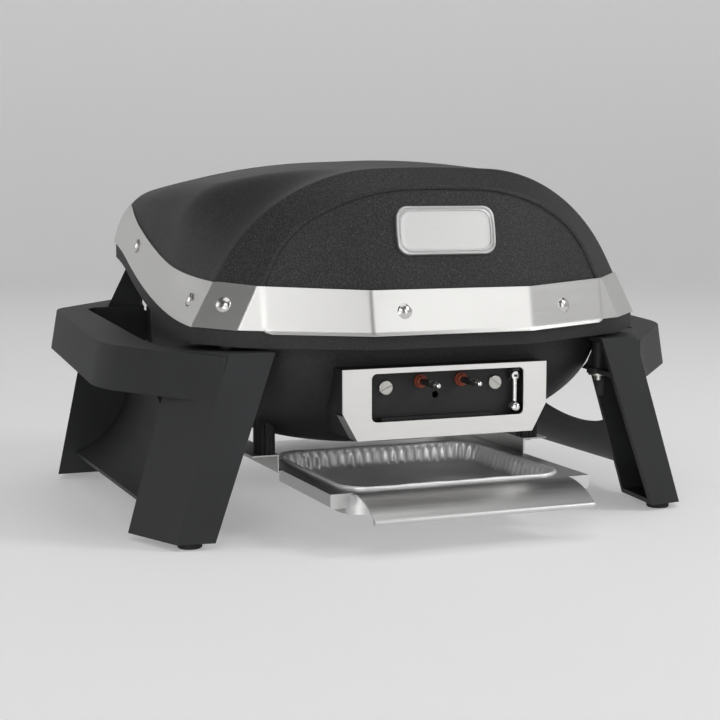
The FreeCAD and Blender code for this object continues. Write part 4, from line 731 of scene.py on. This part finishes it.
# The profile carried round a rounded rectangle. Its wall swells as a sine of the way walked, whose beat
# wanders slowly so that no two ribs are alike, and its floor is the same loop shrunk
def foilGrid():
    halfDepth = (foilForm["rearY"] - foilForm["frontY"]) / 2
    centreY = (foilForm["rearY"] + foilForm["frontY"]) / 2
    halfSize = np.array([foilForm["half"], halfDepth])
    base = roundLoop(*halfSize, foilForm["corner"], 20)
    closed = np.vstack([base, base[:1]])
    walked = np.concatenate([[0], np.cumsum(np.hypot(*np.diff(closed, axis=0).T))])
    ribs = int(walked[-1] / foilForm["pitch"])
    spotCount = ribs * foilForm["ribSteps"]
    spots = np.arange(spotCount) / spotCount * walked[-1]
    loop = np.stack([np.interp(spots, walked, closed[:, k]) for k in (0, 1)], 1)
    ahead, behind = np.roll(loop, -1, 0), np.roll(loop, 1, 0)
    tangent = (ahead - behind) / np.linalg.norm(ahead - behind, axis=1, keepdims=True)
    outward = np.stack([tangent[:, 1], -tangent[:, 0]], 1)
    phase = spots / walked[-1] * ribs * 2 * np.pi
    wander = np.sin(phase * 0.037) * 0.6 + np.sin(phase * 0.011 + 1.7) * 0.5
    rows = []
    for inset, drop in foilForm["profile"]:
        onWall = ease((-drop - 1.2) / 3.0) * (1 - ease((-drop - 16.2) / 2.2))
        beat = 1 + 0.35 * np.sin(phase * 0.21)
        crinkle = np.sin(phase + wander * 1.5) * foilForm["swell"] * onWall * beat
        onFloor = inset < foilForm["floorInset"]
        flat = loop * ((halfSize + inset) / halfSize) if onFloor else loop + outward * inset
        flat = flat + outward * crinkle[:, None]
        ripple = 0.18 * np.sin(phase * 0.13 + drop) + 0.12 * np.sin(phase * 0.31 + inset)
        z = foilForm["top"] + drop + ripple * (1 if drop > -1 else 0.4)
        rows.append(np.stack([flat[:, 0], flat[:, 1] + centreY, z], 1))
    return np.array(rows)


foil = foilGrid()
foilCount = foil.shape[1]
foilFaces = gridFaces(len(foil), foilCount, wrap=True)
foilFaces.append([(len(foil) - 1) * foilCount + i for i in range(foilCount)])
foilPan = addPiece("foilPan", toFrame(foil), foilFaces, "foil_pan", finishes["foil_aluminium"], 60)
addModifier(foilPan, "foilSheet", "SOLIDIFY", thickness=0.0004, offset=-1.0)
print("foil pan ready", foil.shape)

# Turned pieces: rivets, screws, bushings, sleeves and pins
turnedForm = {
    "sides": 40, "smoothAngle": 32, "rivetRadius": 7.0, "rivetDome": 3.2, "rivetRim": 0.7, "rivetNear": 16.0,
    "screwTurn": (24.0, -38.0), "screwEdge": 1.1, "slotHalf": 0.75, "slotDepth": 1.1, "headReach": 12.0,
    # place and outward direction of each rivet
    "rivetPlaces": ((-48, -239, 205, 0, -1, 0.194), (121, -226, 205, 0.309, -0.951, 0.194),
                    (-200, -187, 211, -0.634, -0.773, 0.389), (-226, -140, 215, -1, 0, 0.268),
                    (-226, 39, 257, -1, 0, 0.268), (226, -140, 215, 1, 0, 0.268), (226, 39, 257, 1, 0, 0.268),
                    (-60, 150, 280, 0, 1, 0.213), (60, 150, 280, 0, 1, 0.213)),
}


# Points of a CAD node in this script's millimetres
def nodePoints(node):
    mesh = cadNodes[node].data
    flat = np.empty(len(mesh.vertices) * 3)
    mesh.vertices.foreach_get("co", flat)
    return flat.reshape(-1, 3) * 1000 - np.array([0, frameShift, 0])


# Rows of radius and height turned about an axis; the ring lies in the plane square to it
def turnProfile(profile, centre, axis):
    axis = np.array(axis, float) / np.linalg.norm(axis)
    side = np.cross(axis, (0, 0, 1.0) if abs(axis[2]) < 0.9 else (1.0, 0, 0))
    side /= np.linalg.norm(side)
    other = np.cross(axis, side)
    turn = np.linspace(0, 2 * np.pi, turnedForm["sides"] + 1)[:-1, None]
    ring = np.cos(turn) * side + np.sin(turn) * other
    radius, height = np.array(profile, float).T
    return np.array(centre, float) + radius[:, None, None] * ring + height[:, None, None] * axis


# Several turned shapes in one mesh, wall faces outwards; hollow ones close their profile on itself
def turnedPiece(name, shapes, node, hollow=False):
    points, faces = [], []
    for rows in shapes:
        start, count = sum(len(p) for p in points), rows.shape[1]
        part = np.array(gridFaces(len(rows), count, wrap=True)) + start
        if hollow:
            last = (len(rows) - 1) * count + start
            here = np.arange(count)
            there = (here + 1) % count
            closing = np.stack([last + here, last + there, start + there, start + here], 1)
            part = np.concatenate([part, closing])
        points.append(rows.reshape(-1, 3))
        faces += part.tolist()
    return addPiece(name, toFrame(np.concatenate(points)), faces, node, finishes[nodeSlots[node]],
                    turnedForm["smoothAngle"], True)


# Each rivet sits as high as its CAD head does, and its dome is part of a ball
rivetPoints = nodePoints("trim_rivets")
rivetShapes = []
for x, y, z, nx, ny, nz in turnedForm["rivetPlaces"]:
    normal = np.array([nx, ny, nz]) / np.linalg.norm([nx, ny, nz])
    near = rivetPoints[np.linalg.norm(rivetPoints - (x, y, z), axis=1) < turnedForm["rivetNear"]]
    apex = near[np.argmax(near @ normal)]
    dome, radius = turnedForm["rivetDome"], turnedForm["rivetRadius"]
    seat = np.array([x, y, z]) + normal * ((apex - (x, y, z)) @ normal - dome)
    cap = dome - turnedForm["rivetRim"]
    ball = (radius ** 2 + cap ** 2) / (2 * cap)
    arc = np.linspace(0, math.asin(radius / ball), 12)
    profile = [(ball * math.sin(t), dome - ball + ball * math.cos(t)) for t in arc]
    profile += [(radius + 0.12, 0.45), (radius, 0.0), (radius - 0.3, -0.4), (0, -0.4)]
    rivetShapes.append(turnProfile(profile, seat, normal))
turnedPiece("bandRivets", rivetShapes, "trim_rivets")

frontAxis = (0, -1, 0)
screwPoints = nodePoints("housing_screws")
screwShapes, screwMiddles = [], []
for sign in (-1, 1):
    own = screwPoints[screwPoints[:, 0] * sign > 0]
    middle = (own.max(0) + own.min(0)) / 2
    front, radius = own[:, 1].min(), (own[:, 0].max() - own[:, 0].min()) / 2
    screwMiddles.append((middle[0], front, middle[2]))
    edge = turnedForm["screwEdge"]
    arc = np.linspace(0, np.pi / 2, 7)
    profile = [(0, 0), (radius * 0.5, 0)]
    profile += [(radius - edge + edge * math.sin(t), edge * math.cos(t) - edge) for t in arc]
    profile += [(radius, -3.15), (2, -3.2), (2, -9.5), (0, -9.5)]
    screwShapes.append(turnProfile(profile, screwMiddles[-1], frontAxis))
housingScrews = turnedPiece("housingScrews", screwShapes, "housing_screws")


# A slot across each screw head: two cuts, then the strip between them sinks
def cutSlots(mesh, middles):
    half, depth, reach = (turnedForm[key] / 1000 for key in ("slotHalf", "slotDepth", "headReach"))
    work = bmesh.new()
    work.from_mesh(mesh)
    for middle, angle in zip(middles, turnedForm["screwTurn"]):
        across = Vector((-math.sin(math.radians(angle)), 0, math.cos(math.radians(angle))))
        centre = Vector(toFrame(middle))
        for side in (-1, 1):
            near = [f for f in work.faces if (f.calc_center_median() - centre).length < reach]
            parts = set(near) | {e for f in near for e in f.edges} | {v for f in near for v in f.verts}
            bmesh.ops.bisect_plane(work, geom=list(parts), plane_co=centre + across * half * side,
                                   plane_no=across, dist=1e-7)
        strip = [f for f in work.faces if abs((f.calc_center_median() - centre).dot(across)) < half * 0.99
                 and (f.calc_center_median() - centre).length < reach
                 and f.calc_center_median().y < centre.y + depth]
        sunk = bmesh.ops.extrude_face_region(work, geom=strip)
        for vertex in (v for v in sunk["geom"] if isinstance(v, bmesh.types.BMVert)):
            vertex.co.y = centre.y + depth
        bmesh.ops.delete(work, geom=[f for f in strip if f.is_valid], context="FACES_ONLY")
    bmesh.ops.recalc_face_normals(work, faces=work.faces)
    shadeSmooth(work, turnedForm["smoothAngle"])
    work.to_mesh(mesh)
    work.free()


cutSlots(housingScrews.data, screwMiddles)

sleeveBack = nodePoints("terminal_sleeves")[:, 1].max()
pinBack = nodePoints("terminal_pins")[:, 1].max()
# radius and depth along y of each terminal's pieces, from the front of a hollow one round to its start
terminalForm = {
    "bushing": [(3.3, -212.1), (6.5, -212.1), (6.6, -212.6), (6.6, -214.6), (6.2, -215.2), (5.4, -215.3),
                (5.3, -215.8), (5.25, -217.6), (4.9, -218.6), (4.3, -219.0), (3.3, -219.0)],
    "sleeve": [(2.25, -246.9), (2.9, -247.0), (3.2, -246.5), (3.2, -221.0), (3.1, -220.1), (2.5, -220.0),
               (2.5, sleeveBack), (2.25, sleeveBack)],
    "pin": [(0, -254.0), (1.3, -254.0), (1.9, -253.6), (2.2, -252.8), (2.2, pinBack), (0, pinBack)],
}


# A profile turned on both terminals
def terminalSet(name, node, profile, hollow=False):
    own = nodePoints(node)
    z = (own[:, 2].max() + own[:, 2].min()) / 2
    shapes = []
    for sign in (-1, 1):
        half = own[own[:, 0] * sign > 0]
        x = (half[:, 0].max() + half[:, 0].min()) / 2
        shapes.append(turnProfile([(r, -y) for r, y in profile], (x, 0, z), frontAxis))
    return turnedPiece(name, shapes, node, hollow)


terminalSet("terminalBushings", "terminal_bushings", terminalForm["bushing"], True)
terminalSet("terminalSleeves", "terminal_sleeves", terminalForm["sleeve"], True)
terminalSet("terminalPins", "terminal_pins", terminalForm["pin"])
print("turned pieces ready")

# Pieces that keep the model's own form, with their edges broken
# name, edge width in mm, smooth angle, how flat neighbouring faces must be to be joined
keptForms = {
    "bowl_shell": ("bowlShell", 0, 32, 0),
    "leg_frame_left": ("legFrameLeft", 2.0, 30, 1.5),
    "leg_frame_right": ("legFrameRight", 2.0, 30, 1.5),
    "drip_tray": ("dripTray", 0.5, 30, 1.0),
    "terminal_bracket": ("terminalBracket", 0.5, 30, 1.0),
    "terminal_housing": ("terminalHousing", 0.8, 30, 1.0),
    "latch_clip": ("latchClip", 0.6, 30, 1.0),
    "latch_rod": ("latchRod", 0, 35, 0),
    "latch_knob": ("latchKnob", 0, 40, 0),
    "rail_left": ("railLeft", 0.3, 30, 1.0),
    "rail_right": ("railRight", 0.3, 30, 1.0),
    "heating_element": ("heatingElement", 0, 40, 0),
    "element_clips": ("elementClips", 0.4, 30, 0),
    "cooking_grate_left": ("cookingGrateLeft", 1.2, 30, 1.0),
    "cooking_grate_right": ("cookingGrateRight", 1.2, 30, 1.0),
    "lid_hinge_eyes": ("lidHingeEyes", 0.6, 30, 0),
    "bowl_hinge_ears": ("bowlHingeEars", 0.4, 30, 0),
    "hinge_pins": ("hingePins", 0.4, 30, 0),
    "frame_washers": ("frameWashers", 0.3, 30, 0),
    "frame_bolts": ("frameBolts", 0.6, 30, 0),
    "rail_screws": ("railScrews", 0.5, 30, 0),
    "rubber_feet": ("rubberFeet", 0, 30, 0),
}
for node, (name, edge, angle, flatten) in keptForms.items():
    mesh = cadNodes[node].data.copy()
    mesh.name = name
    weldAndSmooth(mesh, angle, flatten)
    piece = putInScene(name, mesh)
    mesh.materials.clear()
    mesh.materials.append(finishes[nodeSlots[node]])
    if edge:
        addModifier(piece, "brokenEdge", "BEVEL", width=edge / 1000, segments=3, limit_method="ANGLE",
                    angle_limit=math.radians(angle), harden_normals=True)
    standFor(piece, node)
print("kept forms ready", len(keptForms))

# Floor, lights and camera
studio = {"flat": 3.6, "cove": 1.2, "wall": 3.4, "floor": (0.74, 0.74, 0.74),
          "backdrop": (0.90, 0.90, 0.90), "glow": 0.27, "air": 0.12, "sides": 96}


# A floor that turns up all round in one curve, turned about the middle
def coveRows():
    turn = np.linspace(0, np.pi / 2, 18)
    radius = np.concatenate([[0.01, 1.2, 2.4], studio["flat"] + studio["cove"] * np.sin(turn),
                             [studio["flat"] + studio["cove"]]])
    height = np.concatenate([[0, 0, 0], studio["cove"] * (1 - np.cos(turn)), [studio["wall"]]])
    spin = np.linspace(0, 2 * np.pi, studio["sides"] + 1)[:-1]
    return np.stack([radius[:, None] * np.cos(spin), radius[:, None] * np.sin(spin),
                     np.repeat(height[:, None], len(spin), 1)], -1)


cove = coveRows()
coveMesh = bpy.data.meshes.new("studioFloor")
coveFaces = gridFaces(len(cove), cove.shape[1], wrap=True)
coveFaces.append(list(range(cove.shape[1]))[::-1])
coveMesh.from_pydata(cove.reshape(-1, 3).tolist(), [], coveFaces)
studioFloor = putInScene("studioFloor", coveMesh)
for polygon in coveMesh.polygons:
    polygon.use_smooth = True
floorFinish = Finish("studioPaper", Roughness=0.75, Metallic=0.0, Emission_Color=(1, 1, 1, 1))
paperHeight = floorFinish.add("ShaderNodeSeparateXYZ", {}, {0: floorFinish.place()}, out=2)
floorFinish.feed("Base Color", floorFinish.blendColour(floorFinish.sharpen(paperHeight, 0.1, 1.4),
                                                       studio["floor"], studio["backdrop"]))
# The paper glows for the camera and in the metal, and puts no light on the grill
seen = floorFinish.add("ShaderNodeLightPath", out="Is Camera Ray")
for ray in ("Is Glossy Ray", "Is Transmission Ray"):
    seen = seen + floorFinish.add("ShaderNodeLightPath", out=ray)
floorFinish.feed("Emission Strength", studio["glow"] * seen)
coveMesh.materials.append(floorFinish.material)


def softBox(name, place, aim, width, height, power):
    lamp = bpy.data.lights.new(name, "AREA")
    lamp.shape = "RECTANGLE"
    lamp.size, lamp.size_y, lamp.energy = width, height, power
    holder = putInScene(name, lamp)
    holder.location = place
    holder.rotation_euler = (Vector(aim) - Vector(place)).to_track_quat("-Z", "Y").to_euler()


# Where each lamp stands, where it points, its width and height in metres and its power in watts
lamps = {
    "frontBox": ((1.25, -2.72, 0.8), (0, 0, 0.2), 1.15, 1.6, 7),
    "backOfCameraBox": ((-0.85, -2.95, 0.95), (0, 0, 0.2), 0.9, 1.5, 2.5),
    "lowStrip": ((-1.93, -2.3, 0.24), (0, 0, 0.05), 1.05, 0.4, 14),
    "keyBox": ((2.2, -1.6, 2.0), (0, 0, 0.15), 0.7, 0.9, 26),
    "fillBox": ((-2.8, 1.1, 1.0), (0, 0, 0.15), 1.2, 1.4, 7),
    "frontKey": ((-1.3, -2.3, 1.6), (0, 0, 0.15), 0.9, 0.9, 6),
    "backBox": ((0.6, 2.6, 1.6), (0, 0, 0.15), 1.6, 1.2, 2),
    "topBox": ((0.15, -0.4, 2.7), (0, 0, 0.1), 2.6, 2.2, 19),
}
for name, settings in lamps.items():
    softBox(name, *settings)


# A dark upright screen, as a studio has, seen only in the metal
def darkScreen(name, x0, y0, x1, y1, height, tone):
    foot = 0.1
    points = [(x0, y0, foot), (x1, y1, foot), (x1, y1, height), (x0, y0, height)]
    mesh = bpy.data.meshes.new(name)
    mesh.from_pydata(points, [], [(0, 1, 2, 3)])
    screen = putInScene(name, mesh)
    mesh.materials.append(Finish(name, Base_Color=(tone, tone, tone, 1), Roughness=1.0).material)
    screen.visible_camera = False
    screen.visible_shadow = False
    screen.visible_diffuse = False


darkScreen("middleScreen", -0.36, -3.0, 0.62, -2.94, 2.2, 0.01)
darkScreen("leftScreen", -3.0, -0.4, -2.2, -2.2, 3.2, 0.22)

world = bpy.data.worlds.new("studioAir")
bpy.context.scene.world = world
world.use_nodes = True
world.node_tree.nodes["Background"].inputs[0].default_value = (1, 1, 1, 1)
world.node_tree.nodes["Background"].inputs[1].default_value = studio["air"]

# Fitted to the photograph's view
cameraForm = {"place": (-0.615, -1.4935, 0.3176), "yaw": 22.0, "down": 6.235, "lens": 79.4, "sensor": 36.0,
              "shift": -0.0028}
cameraData = bpy.data.cameras.new("studioCamera")
cameraData.lens = cameraForm["lens"]
cameraData.sensor_width = cameraForm["sensor"]
cameraData.shift_y = cameraForm["shift"]
camera = putInScene("studioCamera", cameraData)
camera.location = cameraForm["place"]
camera.rotation_euler = (math.radians(90 - cameraForm["down"]), 0, -math.radians(cameraForm["yaw"]))
bpy.context.scene.camera = camera
bpy.context.scene.view_settings.view_transform = "Standard"
print("studio ready")
